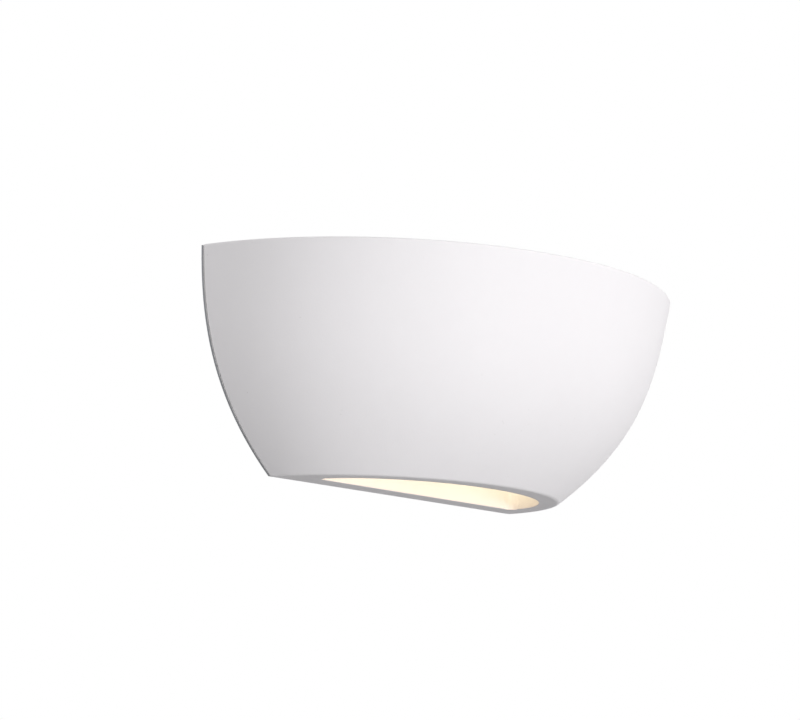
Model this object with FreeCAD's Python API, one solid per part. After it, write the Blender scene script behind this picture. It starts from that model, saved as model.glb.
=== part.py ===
import FreeCAD, Part
import math
import os

# Uplighter wall sconce: a plaster half bowl carried by two studs of a flat steel back plate, which a
# thumb nut clamps on each. A linear lamp lies across it, between two ceramic holders on a bracket.
# Millimetres. X runs along the wall, +Y into the wall, Z up. The wall face is Y = 0, and the origin
# lies there, midway between the two wall fixings. "reach" is a distance out from the wall, along -Y.

V = FreeCAD.Vector

# ---- driving dimensions -------------------------------------------------------------------------

# bowl, outside: half widths at the wall and depths from it, as four control heights, bottom to top
BOWL_HEIGHT = 120.0
FIXING_HEIGHT = 60.0
BOTTOM_HALF_WIDTH = 127.0
LOWER_HALF_WIDTH = 180.0
TOP_HALF_WIDTH = 189.0
BOTTOM_DEPTH = 84.0
LOWER_DEPTH = 140.0
UPPER_DEPTH = 145.0
TOP_DEPTH = 157.0
BOWL_WALL = 9.0
FLOOR_THICKNESS = 12.0
EDGE_ROUND = 1.4
SLOT_SIDE_BORDER = 23.5
SLOT_FRONT_BORDER = 13.0
SLOT_BACK = 17.0
SLOT_CORNER = 5.0
SLOT_EDGE_ROUND = 0.8

# back plate and what passes through it
PLATE_THICKNESS = 1.2
PLATE_INSET = 0.5
FIXING_SPACING = 220.0
FIXING_SLOT_WIDTH = 5.5
FIXING_SLOT_LENGTH = 12.0
GROMMET_BLOCK_GAP = 6.5
GROMMET_Z = -24.0
GROMMET_FLANGE_RADIUS = 9.0
GROMMET_SLEEVE_RADIUS = 6.5
GROMMET_BORE_RADIUS = 4.0
GROMMET_FLANGE_THICKNESS = 2.0

# clearances
SEAT_GAP = 0.3
RUNNING_GAP = 0.05
CLEAR_HOLE_GAP = 0.25

# studs on the back plate, and hanger plates on bosses inside the bowl
BOWL_STUD_RADIUS = 2.5
BOWL_STUD_SHOW = 2.5
BOWL_STUD_INSET = 10.0
HANGER_REACH = 5.8
HANGER_THICKNESS = 1.5
HANGER_HEIGHT = 40.0
HANGER_WALL_GAP = 3.0
HANGER_CORNER = 3.0
BOSS_RIM_DROP = 7.0
BOSS_MARGIN = 5.0
BOSS_WIDTH = 24.0
BOSS_REACH = 24.0
BOSS_ROUND = 4.0
HANGER_SCREW_INSET = 12.0
HANGER_SCREW_RADIUS = 1.75
HANGER_SCREW_HEAD_RADIUS = 3.5
HANGER_SCREW_HEAD_HEIGHT = 1.8
HANGER_SCREW_LENGTH = 12.0
HANGER_SCREW_MARGIN = 7.0

# thumb nuts on the studs
THUMB_HEAD_RADIUS = 8.0
THUMB_HEAD_LENGTH = 7.0
THUMB_COLLAR_RADIUS = 5.5
THUMB_COLLAR_LENGTH = 2.0
THUMB_RIDGES = 28
THUMB_RIDGE_DEPTH = 0.5
THUMB_BOSS_GAP = 3.0

# metric fasteners
M4_RADIUS = 2.0
M4_NUT_ACROSS = 7.0
M4_NUT_HEIGHT = 3.2
M4_WASHER_RADIUS = 4.5
M4_WASHER_THICKNESS = 0.8
M4_HEAD_RADIUS = 4.0
M4_HEAD_HEIGHT = 2.4
M3_RADIUS = 1.5
M3_NUT_ACROSS = 5.5
M3_NUT_HEIGHT = 2.4
M3_HEAD_RADIUS = 2.8
M3_HEAD_HEIGHT = 2.0
THREAD_SHOW = 1.6
DRIVER_SLOT_WIDTH = 0.8
DRIVER_SLOT_DEPTH = 0.9

# lamp, 118 mm linear double-ended pattern: its axis lies along X
LAMP_REACH = 72.0
LAMP_Z = 8.0
CONTACT_HALF_SPAN = 57.1
CAP_RECESS_DEPTH = 1.7
CAP_LENGTH = 12.8
CAP_RADIUS = 3.7
CAP_RECESS_RADIUS = 2.3
CONTACT_RADIUS = 1.8
CONTACT_DEPTH = 2.6
TUBE_RADIUS = 4.5
TUBE_WALL = 0.9
PINCH_SHOW = 4.0
PINCH_WIDTH = 6.0
PINCH_THICKNESS = 2.2
PINCH_OVERLAP = 5.0
FILAMENT_RADIUS = 0.8
FILAMENT_TAIL_RADIUS = 0.35
FILAMENT_TAIL_LENGTH = 4.4

# lampholders
CAP_INSERT = 3.3
HOLDER_SIDE = 14.0
HOLDER_ROUND = 1.5
CUP_PLAY = 1.1
CUP_CLEARANCE = 1.0
CUP_FLOOR = 3.0
CHAMBER_PLAY = 0.4
PIN_RADIUS = 1.7
FLANGE_RADIUS = 3.0
FLANGE_THICKNESS = 1.5
STEM_RADIUS = 1.2
STEM_CLEARANCE = 1.1
TAIL_LENGTH = 2.5
LAMP_PUSH = 4.5
FOOT_THICKNESS = 7.0
FOOT_DROP = 20.0
HOLDER_SCREW_DROP = 14.0
SEAT_THICKNESS = 1.5
SPRING_WIRE = 0.5
SPRING_PITCH = 1.0
SPRING_TURNS = 4
SPRING_RADIUS = 2.4
SPRING_PLAY = 0.6

# lamp bracket and arm
STRIP_THICKNESS = 1.5
STRIP_WIDTH = 16.0
BRACKET_DROP = 30.0
EAR_RISE = 7.0
BEND_ROUND = 1.5
TAIL_HOLE_RADIUS = 2.5
ARM_WIDTH = 24.0
ARM_END_MARGIN = 12.0
ARM_FLANGE_WIDTH = 40.0
ARM_FLANGE_HEIGHT = 20.0
ARM_STUD_X = 13.0
ARM_STUD_RISE = 12.0
BRACKET_SCREW_X = 7.0

# terminal block
BLOCK_ARM_GAP = 3.5
POLE_PITCH = 16.0
BLOCK_END_MARGIN = 8.5
BLOCK_BOTTOM_Z = -31.0
BLOCK_TOP_Z = -13.0
BLOCK_DEPTH = 16.0
BLOCK_LAND = 5.0
BLOCK_ROUND = 1.0
POLE_DEPTH = 7.5
SLEEVE_RADIUS = 3.0
SLEEVE_BORE = 1.8
SLEEVE_MARGIN = 1.5
TERMINAL_SCREW_RADIUS = 1.4
TERMINAL_HEAD_RADIUS = 2.2
TERMINAL_HEAD_HEIGHT = 1.8
TERMINAL_SCREW_MARGIN = 4.0

# earth connection
EARTH_X = -20.0
EARTH_Z = 20.0
RING_RADIUS = 4.2
RING_THICKNESS = 0.8
CRIMP_RADIUS = 1.7
CRIMP_LENGTH = 7.0
CRIMP_WASHER_GAP = 0.8
CRIMP_LAP = 1.0

# leads, sleeved in glass fibre: each row is a step away from the middle, towards the room and up,
# from the lampholder's tail, from the point above the lead's pole, or from the earth ring's crimp
LEAD_RADIUS = 1.1
LEAD_INSERT = 6.0
LEAD_RISE = 11.0
LIVE_FROM_LAMP = [(11.0, 0.0, 0.0), (15.0, -14.0, -6.0), (8.0, -30.0, -8.0)]
LIVE_TO_POLE = [(14.0, 17.3, 6.0), (3.0, 4.3, 8.0)]
NEUTRAL_FROM_LAMP = [(11.0, 0.0, 0.0), (14.0, -15.0, -5.0), (4.0, -30.0, -5.0), (-15.0, -41.0, -1.0)]
NEUTRAL_TO_POLE = [(-76.0, 15.3, 11.0), (-50.0, 12.3, 10.0), (-24.0, 11.3, 11.0), (-6.0, 5.3, 10.0)]
EARTH_FROM_CRIMP = [(8.0, 0.0, 0.0)]
EARTH_TO_POLE = [(-1.0, -1.2, 14.0)]

# ---- places worked out from the sizes above -----------------------------------------------------

BOWL_BOTTOM_Z = -FIXING_HEIGHT
BOWL_TOP_Z = BOWL_BOTTOM_Z + BOWL_HEIGHT
FLOOR_TOP_Z = BOWL_BOTTOM_Z + FLOOR_THICKNESS
CONTROL_HEIGHTS = [BOWL_BOTTOM_Z + BOWL_HEIGHT * step / 3.0 for step in range(4)]
HALF_WIDTHS = [BOTTOM_HALF_WIDTH, LOWER_HALF_WIDTH, TOP_HALF_WIDTH, TOP_HALF_WIDTH]
DEPTHS = [BOTTOM_DEPTH, LOWER_DEPTH, UPPER_DEPTH, TOP_DEPTH]
SLOT_HALF_WIDTH = BOTTOM_HALF_WIDTH - SLOT_SIDE_BORDER
SLOT_DEPTH = BOTTOM_DEPTH - SLOT_FRONT_BORDER - SLOT_BACK
BOWL_REAR = PLATE_THICKNESS + SEAT_GAP


def profile_at(controls, z):
    """Value at height z of the cubic profile that runs between four control values."""
    rise = (z - BOWL_BOTTOM_Z) / BOWL_HEIGHT
    rest = 1.0 - rise
    shares = [rest ** 3, 3 * rest ** 2 * rise, 3 * rest * rise ** 2, rise ** 3]
    return sum(share * control for share, control in zip(shares, controls))


BOSS_TOP_Z = BOWL_TOP_Z - BOSS_RIM_DROP
HANGER_TOP_Z = BOSS_TOP_Z - BOSS_MARGIN
HANGER_BOTTOM_Z = HANGER_TOP_Z - HANGER_HEIGHT
BOSS_BOTTOM_Z = HANGER_BOTTOM_Z - BOSS_MARGIN
HANGER_OUTER_X = profile_at(HALF_WIDTHS, HANGER_BOTTOM_Z) - BOWL_WALL - HANGER_WALL_GAP
BOSS_INNER_X = HANGER_OUTER_X - BOSS_WIDTH
HANGER_SCREW_X = HANGER_OUTER_X - HANGER_SCREW_INSET
BOWL_STUD_X = BOSS_INNER_X - THUMB_BOSS_GAP - THUMB_HEAD_RADIUS
HANGER_INNER_X = BOWL_STUD_X - BOWL_STUD_INSET
BOWL_STUD_Z = (HANGER_TOP_Z + HANGER_BOTTOM_Z) / 2.0
HANGER_FRONT = HANGER_REACH + HANGER_THICKNESS
THUMB_REAR = HANGER_FRONT + SEAT_GAP
THUMB_FRONT = THUMB_REAR + THUMB_COLLAR_LENGTH + THUMB_HEAD_LENGTH
HANGER_SCREW_Z = [HANGER_BOTTOM_Z + HANGER_SCREW_MARGIN, HANGER_TOP_Z - HANGER_SCREW_MARGIN]
LAMP_AXIS = V(0, -LAMP_REACH, LAMP_Z)
CAP_END = CONTACT_HALF_SPAN + CAP_RECESS_DEPTH
TUBE_HALF_LENGTH = CAP_END - CAP_LENGTH - PINCH_SHOW
TUBE_TAPER = TUBE_RADIUS * 0.8
FILAMENT_END = TUBE_HALF_LENGTH - TUBE_TAPER
FILAMENT_HALF_LENGTH = FILAMENT_END - FILAMENT_TAIL_LENGTH
STRIP_TOP_Z = LAMP_Z - BRACKET_DROP
STRIP_BOTTOM_Z = STRIP_TOP_Z - STRIP_THICKNESS
HOLDER_MOUTH = CAP_END - CAP_INSERT
FIXED_CUP_DEPTH = CAP_INSERT + CUP_CLEARANCE
SPRUNG_CUP_DEPTH = CAP_INSERT + LAMP_PUSH + CUP_CLEARANCE
CUP_RADIUS = CAP_RADIUS + CUP_PLAY
CHAMBER_RADIUS = FLANGE_RADIUS + CHAMBER_PLAY
PLUNGER_FLANGE = HOLDER_MOUTH + SPRUNG_CUP_DEPTH + CUP_FLOOR + SEAT_GAP
PLUNGER_BACK = PLUNGER_FLANGE + FLANGE_THICKNESS
SPRING_START = PLUNGER_BACK + LAMP_PUSH + SPRING_PLAY
SEAT_FRONT = SPRING_START + SPRING_TURNS * SPRING_PITCH + SPRING_WIRE / 2.0 + RUNNING_GAP
HOLDER_END = SEAT_FRONT + SEAT_THICKNESS
STEM_END = SEAT_FRONT - LAMP_PUSH - STEM_CLEARANCE
EAR_OUTER = HOLDER_END + STRIP_THICKNESS
HOLDER_SCREW_Z = LAMP_Z - HOLDER_SCREW_DROP
TAIL_END = EAR_OUTER + TAIL_LENGTH
ARM_BOTTOM_Z = STRIP_BOTTOM_Z - STRIP_THICKNESS
ARM_STUD_Z = ARM_BOTTOM_Z + ARM_STUD_RISE
PLATE_AND_STRIP = PLATE_THICKNESS + STRIP_THICKNESS
BLOCK_HALF_LENGTH = POLE_PITCH + BLOCK_END_MARGIN
BLOCK_X = -(ARM_FLANGE_WIDTH / 2.0 + BLOCK_ARM_GAP + BLOCK_HALF_LENGTH)
GROMMET_X = BLOCK_X - BLOCK_HALF_LENGTH - GROMMET_BLOCK_GAP - GROMMET_FLANGE_RADIUS
POLES_X = [BLOCK_X + POLE_PITCH * step for step in (-1, 0, 1)]
BLOCK_STUDS_X = [BLOCK_X + POLE_PITCH * step for step in (-0.5, 0.5)]
BLOCK_MIDDLE_Z = (BLOCK_BOTTOM_Z + BLOCK_TOP_Z) / 2.0
BLOCK_FRONT = PLATE_THICKNESS + BLOCK_DEPTH
POLE_REACH = PLATE_THICKNESS + POLE_DEPTH
LAND_FRONT = PLATE_THICKNESS + BLOCK_LAND
TERMINAL_SCREWS_Z = [BLOCK_BOTTOM_Z + TERMINAL_SCREW_MARGIN, BLOCK_TOP_Z - TERMINAL_SCREW_MARGIN]
CRIMP_END = EARTH_X - M4_WASHER_RADIUS - CRIMP_WASHER_GAP
CRIMP_X = CRIMP_END - CRIMP_LENGTH
CRIMP_REACH = PLATE_THICKNESS + CRIMP_RADIUS
BEYOND = 5.0


# ---- building blocks ----------------------------------------------------------------------------

def block(x0, x1, near, far, z0, z1):
    """Box from x0 to x1 and z0 to z1, between two reaches from the wall."""
    return Part.makeBox(x1 - x0, far - near, z1 - z0, V(x0, -far, z0))


def out_rod(x, z, near, far, radius):
    """Round rod square to the wall, between two reaches."""
    return Part.makeCylinder(radius, far - near, V(x, -near, z), V(0, -1, 0))


def side_rod(x0, x1, radius, axis_point=LAMP_AXIS):
    """Round rod along X at the height and reach of axis_point."""
    return Part.makeCylinder(radius, x1 - x0, V(x0, axis_point.y, axis_point.z), V(1, 0, 0))


def up_rod(x, reach, z0, z1, radius):
    """Upright round rod."""
    return Part.makeCylinder(radius, z1 - z0, V(x, -reach, z0), V(0, 0, 1))


def mirrored(shape):
    """The same shape on the other side of the middle plane X = 0."""
    return shape.mirror(V(0, 0, 0), V(1, 0, 0))


def both_sides(shape):
    """A shape and its mirror image, as separate solids."""
    return [shape, mirrored(shape)]


def edges_along(shape, direction):
    """Straight edges that run along a direction."""
    found = []
    for edge in shape.Edges:
        straight = isinstance(edge.Curve, Part.Line)
        if straight and abs(edge.tangentAt(edge.FirstParameter).dot(direction)) > 0.999:
            found.append(edge)
    return found


def hexagon(centre, axis, across, height, bore):
    """Hexagon nut with a plain bore: its base is centred on a point and it rises along axis."""
    corner_radius = across / math.sqrt(3.0)
    side = V(0, 0, 1) if abs(axis.z) < 0.5 else V(1, 0, 0)
    other = axis.cross(side)
    spokes = [(math.cos(step * math.pi / 3), math.sin(step * math.pi / 3)) for step in range(7)]
    corners = [centre + (side * along + other * across_it) * corner_radius for along, across_it in spokes]
    solid = Part.Face(Part.makePolygon(corners)).extrude(axis * height)
    return solid.cut(Part.makeCylinder(bore, height, centre, axis))


def pan_screw(under_head, axis, radius, length, head_radius, head_height):
    """Slotted screw: its shank runs along axis from under the head, which stands the other way."""
    shank = Part.makeCylinder(radius, length, under_head, axis)
    head = Part.makeCylinder(head_radius, head_height, under_head, axis * -1.0)
    top_edge = [e for e in head.Edges
                if e.Closed and (e.CenterOfMass - under_head).Length > head_height / 2.0]
    head = head.makeFillet(head_height * 0.4, top_edge)
    side = V(1, 0, 0) if abs(axis.x) < 0.5 else V(0, 0, 1)
    across = axis.cross(side)
    corner = under_head - axis * head_height - side * head_radius - across * (DRIVER_SLOT_WIDTH / 2.0)
    outline = [corner, corner + side * (2 * head_radius), corner + side * (2 * head_radius)
               + across * DRIVER_SLOT_WIDTH, corner + across * DRIVER_SLOT_WIDTH, corner]
    driver_slot = Part.Face(Part.makePolygon(outline)).extrude(axis * DRIVER_SLOT_DEPTH)
    return shank.fuse(head).cut(driver_slot).removeSplitter()


def turned(profile, x_sign=1.0):
    """Solid of revolution about the lamp axis from (x, radius) pairs, mirrored when x_sign is -1."""
    points = [V(x_sign * x, -LAMP_REACH, LAMP_Z + radius) for x, radius in profile]
    points = [V(points[0].x, -LAMP_REACH, LAMP_Z)] + points + [V(points[-1].x, -LAMP_REACH, LAMP_Z)]
    face = Part.Face(Part.makePolygon(points + [points[0]]))
    return face.revolve(LAMP_AXIS, V(1, 0, 0), 360)


def one_solid(shape):
    """The single solid that a boolean result holds."""
    return shape.removeSplitter().Solids[0]


# ---- bowl ---------------------------------------------------------------------------------------

def elliptical_body(half_widths, depths):
    """Closed body whose level sections are ellipses about the Z axis, with a smooth profile."""
    corner = math.sqrt(0.5)
    compass = [(1, 0, 1), (1, -1, corner), (0, -1, 1), (-1, -1, corner), (-1, 0, 1),
               (-1, 1, corner), (0, 1, 1), (1, 1, corner), (1, 0, 1)]
    rows = list(zip(half_widths, depths, CONTROL_HEIGHTS))
    poles = [[V(cx * a, cy * b, z) for a, b, z in rows] for cx, cy, weight in compass]
    weights = [[weight] * len(rows) for cx, cy, weight in compass]
    surface = Part.BSplineSurface()
    surface.buildFromPolesMultsKnots(poles, [3, 2, 2, 2, 3], [4, 4], [0, 1, 2, 3, 4], [0, 1],
                                     False, False, 2, 3, weights)
    side = surface.toShape()
    ends = [Part.Face(Part.Wire([edge])) for edge in side.Edges if edge.Closed]
    skin = Part.Shell([side] + ends)
    skin.sewShape()
    solid = Part.Solid(skin)
    if solid.Volume < 0:
        solid.reverse()
    return solid


def slot_prism(z0, z1):
    """Upright prism of the half-elliptical light slot, with its two rear corners rounded."""
    arc = Part.Ellipse(V(0, -SLOT_BACK, z0), SLOT_HALF_WIDTH, SLOT_DEPTH).toShape(math.pi, 2 * math.pi)
    chord = Part.makeLine(arc.Vertexes[-1].Point, arc.Vertexes[0].Point)
    prism = Part.Face(Part.Wire([arc, chord])).extrude(V(0, 0, z1 - z0))
    return prism.makeFillet(SLOT_CORNER, edges_along(prism, V(0, 0, 1)))


def hanging_boss(outer):
    """Plaster block inside the bowl's right side that carries a hanger plate."""
    raw = block(BOSS_INNER_X, TOP_HALF_WIDTH, HANGER_FRONT, BOSS_REACH, BOSS_BOTTOM_Z, BOSS_TOP_Z)
    inner_edges = [e for e in raw.Edges if e.BoundBox.XMax < BOSS_INNER_X + 1e-3
                   and e.BoundBox.YMin < -BOSS_REACH + 1e-3]
    raw = raw.makeFillet(BOSS_ROUND, inner_edges)
    return raw.common(outer)


def rim_edges(solid):
    """Outer and inner edges of the bowl's top rim, and the outer edge of its bottom face."""
    found = []
    for edge in solid.Edges:
        box = edge.BoundBox
        level = box.ZLength < 1e-4 and box.YLength > BOTTOM_DEPTH / 2.0
        on_top = level and abs(box.ZMax - BOWL_TOP_Z) < 1e-3
        at_bottom = level and abs(box.ZMax - BOWL_BOTTOM_Z) < 1e-3
        outer = box.XLength > 2 * SLOT_HALF_WIDTH + 1.0
        if on_top or (at_bottom and outer):
            found.append(edge)
    return found


def rear_edges(solid):
    """Outer edges of the bowl's rear face, up both sides and along the bottom."""
    found = []
    for edge in solid.Edges:
        box = edge.BoundBox
        at_rear = box.YLength < 1e-4 and abs(box.YMax + BOWL_REAR) < 1e-3
        side = box.ZLength > BOWL_HEIGHT - 1e-3
        bottom = box.ZLength < 1e-4 and abs(box.ZMax - BOWL_BOTTOM_Z) < 1e-3
        if at_rear and (side or bottom):
            found.append(edge)
    return found


def slot_edges(solid):
    """Edges of the light slot on the bottom face."""
    found = []
    for edge in solid.Edges:
        box = edge.BoundBox
        inside = box.XLength < 2 * SLOT_HALF_WIDTH + 1.0 and box.YMax < -BOWL_REAR - 1.0
        if inside and box.ZLength < 1e-4 and abs(box.ZMax - BOWL_BOTTOM_Z) < 1e-3:
            found.append(edge)
    return found


def bowl():
    outer = elliptical_body(HALF_WIDTHS, DEPTHS)
    inner = elliptical_body([a - BOWL_WALL for a in HALF_WIDTHS], [b - BOWL_WALL for b in DEPTHS])
    floor = block(-TOP_HALF_WIDTH, TOP_HALF_WIDTH, -TOP_DEPTH, TOP_DEPTH, BOWL_BOTTOM_Z, FLOOR_TOP_Z)
    boss = hanging_boss(outer)
    shell = outer.cut(inner.cut(floor)).fuse(both_sides(boss))
    behind = block(-2 * TOP_HALF_WIDTH, 2 * TOP_HALF_WIDTH, -2 * TOP_DEPTH, BOWL_REAR,
                   2 * BOWL_BOTTOM_Z, 2 * BOWL_TOP_Z)
    slot = slot_prism(BOWL_BOTTOM_Z - BEYOND, FLOOR_TOP_Z + BEYOND)
    shell = one_solid(shell.cut([behind, slot]))
    shell = shell.makeFillet(EDGE_ROUND, rim_edges(shell) + rear_edges(shell))
    shell = shell.makeFillet(SLOT_EDGE_ROUND, slot_edges(shell))
    holes = [screw_hole for z in HANGER_SCREW_Z for screw_hole in both_sides(
        out_rod(HANGER_SCREW_X, z, HANGER_FRONT, HANGER_REACH + HANGER_SCREW_LENGTH + SEAT_GAP,
                HANGER_SCREW_RADIUS))]
    return one_solid(shell.cut(holes))


# ---- back plate, grommet and bowl studs ---------------------------------------------------------

def plate_outline(inset):
    """Face of the bowl's rear outline, drawn in by inset all round, on the wall plane."""
    heights = [z + (inset if z == BOWL_BOTTOM_Z else 0) - (inset if z == BOWL_TOP_Z else 0)
               for z in CONTROL_HEIGHTS]
    right = Part.BezierCurve()
    right.setPoles([V(a - inset, 0, z) for a, z in zip(HALF_WIDTHS, heights)])
    left = Part.BezierCurve()
    left.setPoles([V(inset - a, 0, z) for a, z in zip(HALF_WIDTHS, heights)])
    bottom = Part.makeLine(left.getPole(1), right.getPole(1))
    top = Part.makeLine(right.getPole(4), left.getPole(4))
    return Part.Face(Part.Wire([bottom, right.toShape(), top, left.toShape().reversed()]))


def fixing_slot(x):
    """Level slot with round ends through the back plate."""
    radius = FIXING_SLOT_WIDTH / 2.0
    straight = (FIXING_SLOT_LENGTH - FIXING_SLOT_WIDTH) / 2.0
    middle = block(x - straight, x + straight, -BEYOND, PLATE_THICKNESS + BEYOND, -radius, radius)
    ends = [out_rod(x + step, 0, -BEYOND, PLATE_THICKNESS + BEYOND, radius)
            for step in (-straight, straight)]
    return middle.fuse(ends)


def back_plate():
    plate = plate_outline(PLATE_INSET).extrude(V(0, -PLATE_THICKNESS, 0))
    cable_hole = out_rod(GROMMET_X, GROMMET_Z, -BEYOND, PLATE_THICKNESS + BEYOND, GROMMET_SLEEVE_RADIUS)
    slots = [fixing_slot(-FIXING_SPACING / 2.0), fixing_slot(FIXING_SPACING / 2.0)]
    return one_solid(plate.cut([cable_hole] + slots))


def cable_grommet():
    front = PLATE_THICKNESS + GROMMET_FLANGE_THICKNESS
    sleeve = out_rod(GROMMET_X, GROMMET_Z, 0, PLATE_THICKNESS, GROMMET_SLEEVE_RADIUS)
    flange = out_rod(GROMMET_X, GROMMET_Z, PLATE_THICKNESS, front, GROMMET_FLANGE_RADIUS)
    rim = [e for e in flange.Edges if e.Closed and e.BoundBox.YMin < -front + 1e-3]
    flange = flange.makeFillet(GROMMET_FLANGE_THICKNESS * 0.6, rim)
    bore = out_rod(GROMMET_X, GROMMET_Z, 0, front, GROMMET_BORE_RADIUS)
    return one_solid(sleeve.fuse(flange).cut(bore))


def bowl_studs():
    """Long studs welded to the plate, which the hanger plates slip over."""
    return both_sides(out_rod(BOWL_STUD_X, BOWL_STUD_Z, PLATE_THICKNESS, THUMB_FRONT + BOWL_STUD_SHOW,
                              BOWL_STUD_RADIUS))


# ---- hanger plates and their screws, on the bowl ------------------------------------------------

def hanger_plates():
    plate = block(HANGER_INNER_X, HANGER_OUTER_X, HANGER_REACH, HANGER_FRONT, HANGER_BOTTOM_Z, HANGER_TOP_Z)
    plate = plate.makeFillet(HANGER_CORNER, edges_along(plate, V(0, 1, 0)))
    holes = [out_rod(HANGER_SCREW_X, z, HANGER_REACH, HANGER_FRONT, HANGER_SCREW_RADIUS)
             for z in HANGER_SCREW_Z]
    stud_hole = out_rod(BOWL_STUD_X, BOWL_STUD_Z, HANGER_REACH, HANGER_FRONT,
                        BOWL_STUD_RADIUS + CLEAR_HOLE_GAP)
    return both_sides(one_solid(plate.cut([stud_hole] + holes)))


def hanger_screws():
    screws = []
    for z in HANGER_SCREW_Z:
        screw = pan_screw(V(HANGER_SCREW_X, -HANGER_REACH, z), V(0, -1, 0), HANGER_SCREW_RADIUS,
                          HANGER_SCREW_LENGTH, HANGER_SCREW_HEAD_RADIUS, HANGER_SCREW_HEAD_HEIGHT)
        screws += both_sides(screw)
    return screws


def thumb_nut():
    """Ridged thumb nut on the right stud, just clear of the hanger plate."""
    head_start = THUMB_REAR + THUMB_COLLAR_LENGTH
    points = []
    for step in range(2 * THUMB_RIDGES + 1):
        turn = math.pi * step / THUMB_RIDGES
        radius = THUMB_HEAD_RADIUS - (THUMB_RIDGE_DEPTH if step % 2 else 0.0)
        points.append(V(BOWL_STUD_X + radius * math.cos(turn), -head_start,
                        BOWL_STUD_Z + radius * math.sin(turn)))
    head = Part.Face(Part.makePolygon(points)).extrude(V(0, -THUMB_HEAD_LENGTH, 0))
    collar = out_rod(BOWL_STUD_X, BOWL_STUD_Z, THUMB_REAR, head_start, THUMB_COLLAR_RADIUS)
    thread = out_rod(BOWL_STUD_X, BOWL_STUD_Z, THUMB_REAR, THUMB_FRONT, BOWL_STUD_RADIUS + RUNNING_GAP)
    return one_solid(head.fuse(collar).cut(thread))


# ---- lamp arm and bracket -----------------------------------------------------------------------

def lamp_arm():
    """Bent steel arm: a flange on the back plate and a level tongue under the lamp bracket."""
    half_flange = ARM_FLANGE_WIDTH / 2.0
    flange = block(-half_flange, half_flange, PLATE_THICKNESS, PLATE_AND_STRIP, ARM_BOTTOM_Z,
                   ARM_BOTTOM_Z + ARM_FLANGE_HEIGHT)
    tongue = block(-ARM_WIDTH / 2.0, ARM_WIDTH / 2.0, PLATE_THICKNESS, LAMP_REACH + ARM_END_MARGIN,
                   ARM_BOTTOM_Z, STRIP_BOTTOM_Z)
    flange = flange.makeFillet(HANGER_CORNER, edges_along(flange, V(0, 1, 0))[:4])
    tongue = tongue.makeFillet(HANGER_CORNER, [e for e in edges_along(tongue, V(0, 0, 1))
                                               if e.CenterOfMass.y < -LAMP_REACH])
    arm = one_solid(flange.fuse(tongue))
    bend = [e for e in edges_along(arm, V(1, 0, 0)) if abs(e.CenterOfMass.y + PLATE_AND_STRIP) < 1e-3
            and abs(e.CenterOfMass.z - STRIP_BOTTOM_Z) < 1e-3]
    arm = arm.makeFillet(BEND_ROUND, bend)
    stud_holes = both_sides(out_rod(ARM_STUD_X, ARM_STUD_Z, 0, LAMP_REACH / 2.0, M4_RADIUS + CLEAR_HOLE_GAP))
    screw_holes = both_sides(up_rod(BRACKET_SCREW_X, LAMP_REACH, ARM_BOTTOM_Z, STRIP_BOTTOM_Z,
                                    M4_RADIUS + CLEAR_HOLE_GAP))
    return one_solid(arm.cut(stud_holes + screw_holes))


def lamp_bracket():
    """U-shaped strip: a level base on the arm and an upright ear behind each lampholder."""
    near = LAMP_REACH - STRIP_WIDTH / 2.0
    far = LAMP_REACH + STRIP_WIDTH / 2.0
    base = block(-EAR_OUTER, EAR_OUTER, near, far, STRIP_BOTTOM_Z, STRIP_TOP_Z)
    ear = block(HOLDER_END, EAR_OUTER, near, far, STRIP_BOTTOM_Z, LAMP_Z + EAR_RISE)
    ear = ear.makeFillet(HANGER_CORNER, [e for e in edges_along(ear, V(1, 0, 0)) if e.CenterOfMass.z > 0])
    strip = one_solid(base.fuse(both_sides(ear)))
    inner = [e for e in edges_along(strip, V(0, 1, 0)) if abs(abs(e.CenterOfMass.x) - HOLDER_END) < 1e-3
             and abs(e.CenterOfMass.z - STRIP_TOP_Z) < 1e-3]
    outer = [e for e in edges_along(strip, V(0, 1, 0)) if abs(abs(e.CenterOfMass.x) - EAR_OUTER) < 1e-3
             and abs(e.CenterOfMass.z - STRIP_BOTTOM_Z) < 1e-3]
    strip = strip.makeFillet(BEND_ROUND, inner + outer)
    tail_hole = side_rod(-2 * EAR_OUTER, 2 * EAR_OUTER, TAIL_HOLE_RADIUS)
    screw_line = V(0, -LAMP_REACH, HOLDER_SCREW_Z)
    screw_hole = side_rod(-2 * EAR_OUTER, 2 * EAR_OUTER, M3_RADIUS + CLEAR_HOLE_GAP, screw_line)
    base_holes = both_sides(up_rod(BRACKET_SCREW_X, LAMP_REACH, STRIP_BOTTOM_Z, STRIP_TOP_Z,
                                   M4_RADIUS + CLEAR_HOLE_GAP))
    return one_solid(strip.cut([tail_hole, screw_hole] + base_holes))


def bracket_screws():
    length = 2 * STRIP_THICKNESS + M4_NUT_HEIGHT + THREAD_SHOW
    return both_sides(pan_screw(V(BRACKET_SCREW_X, -LAMP_REACH, STRIP_TOP_Z), V(0, 0, -1), M4_RADIUS,
                                length, M4_HEAD_RADIUS, M4_HEAD_HEIGHT))


# ---- lampholders --------------------------------------------------------------------------------

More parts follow.
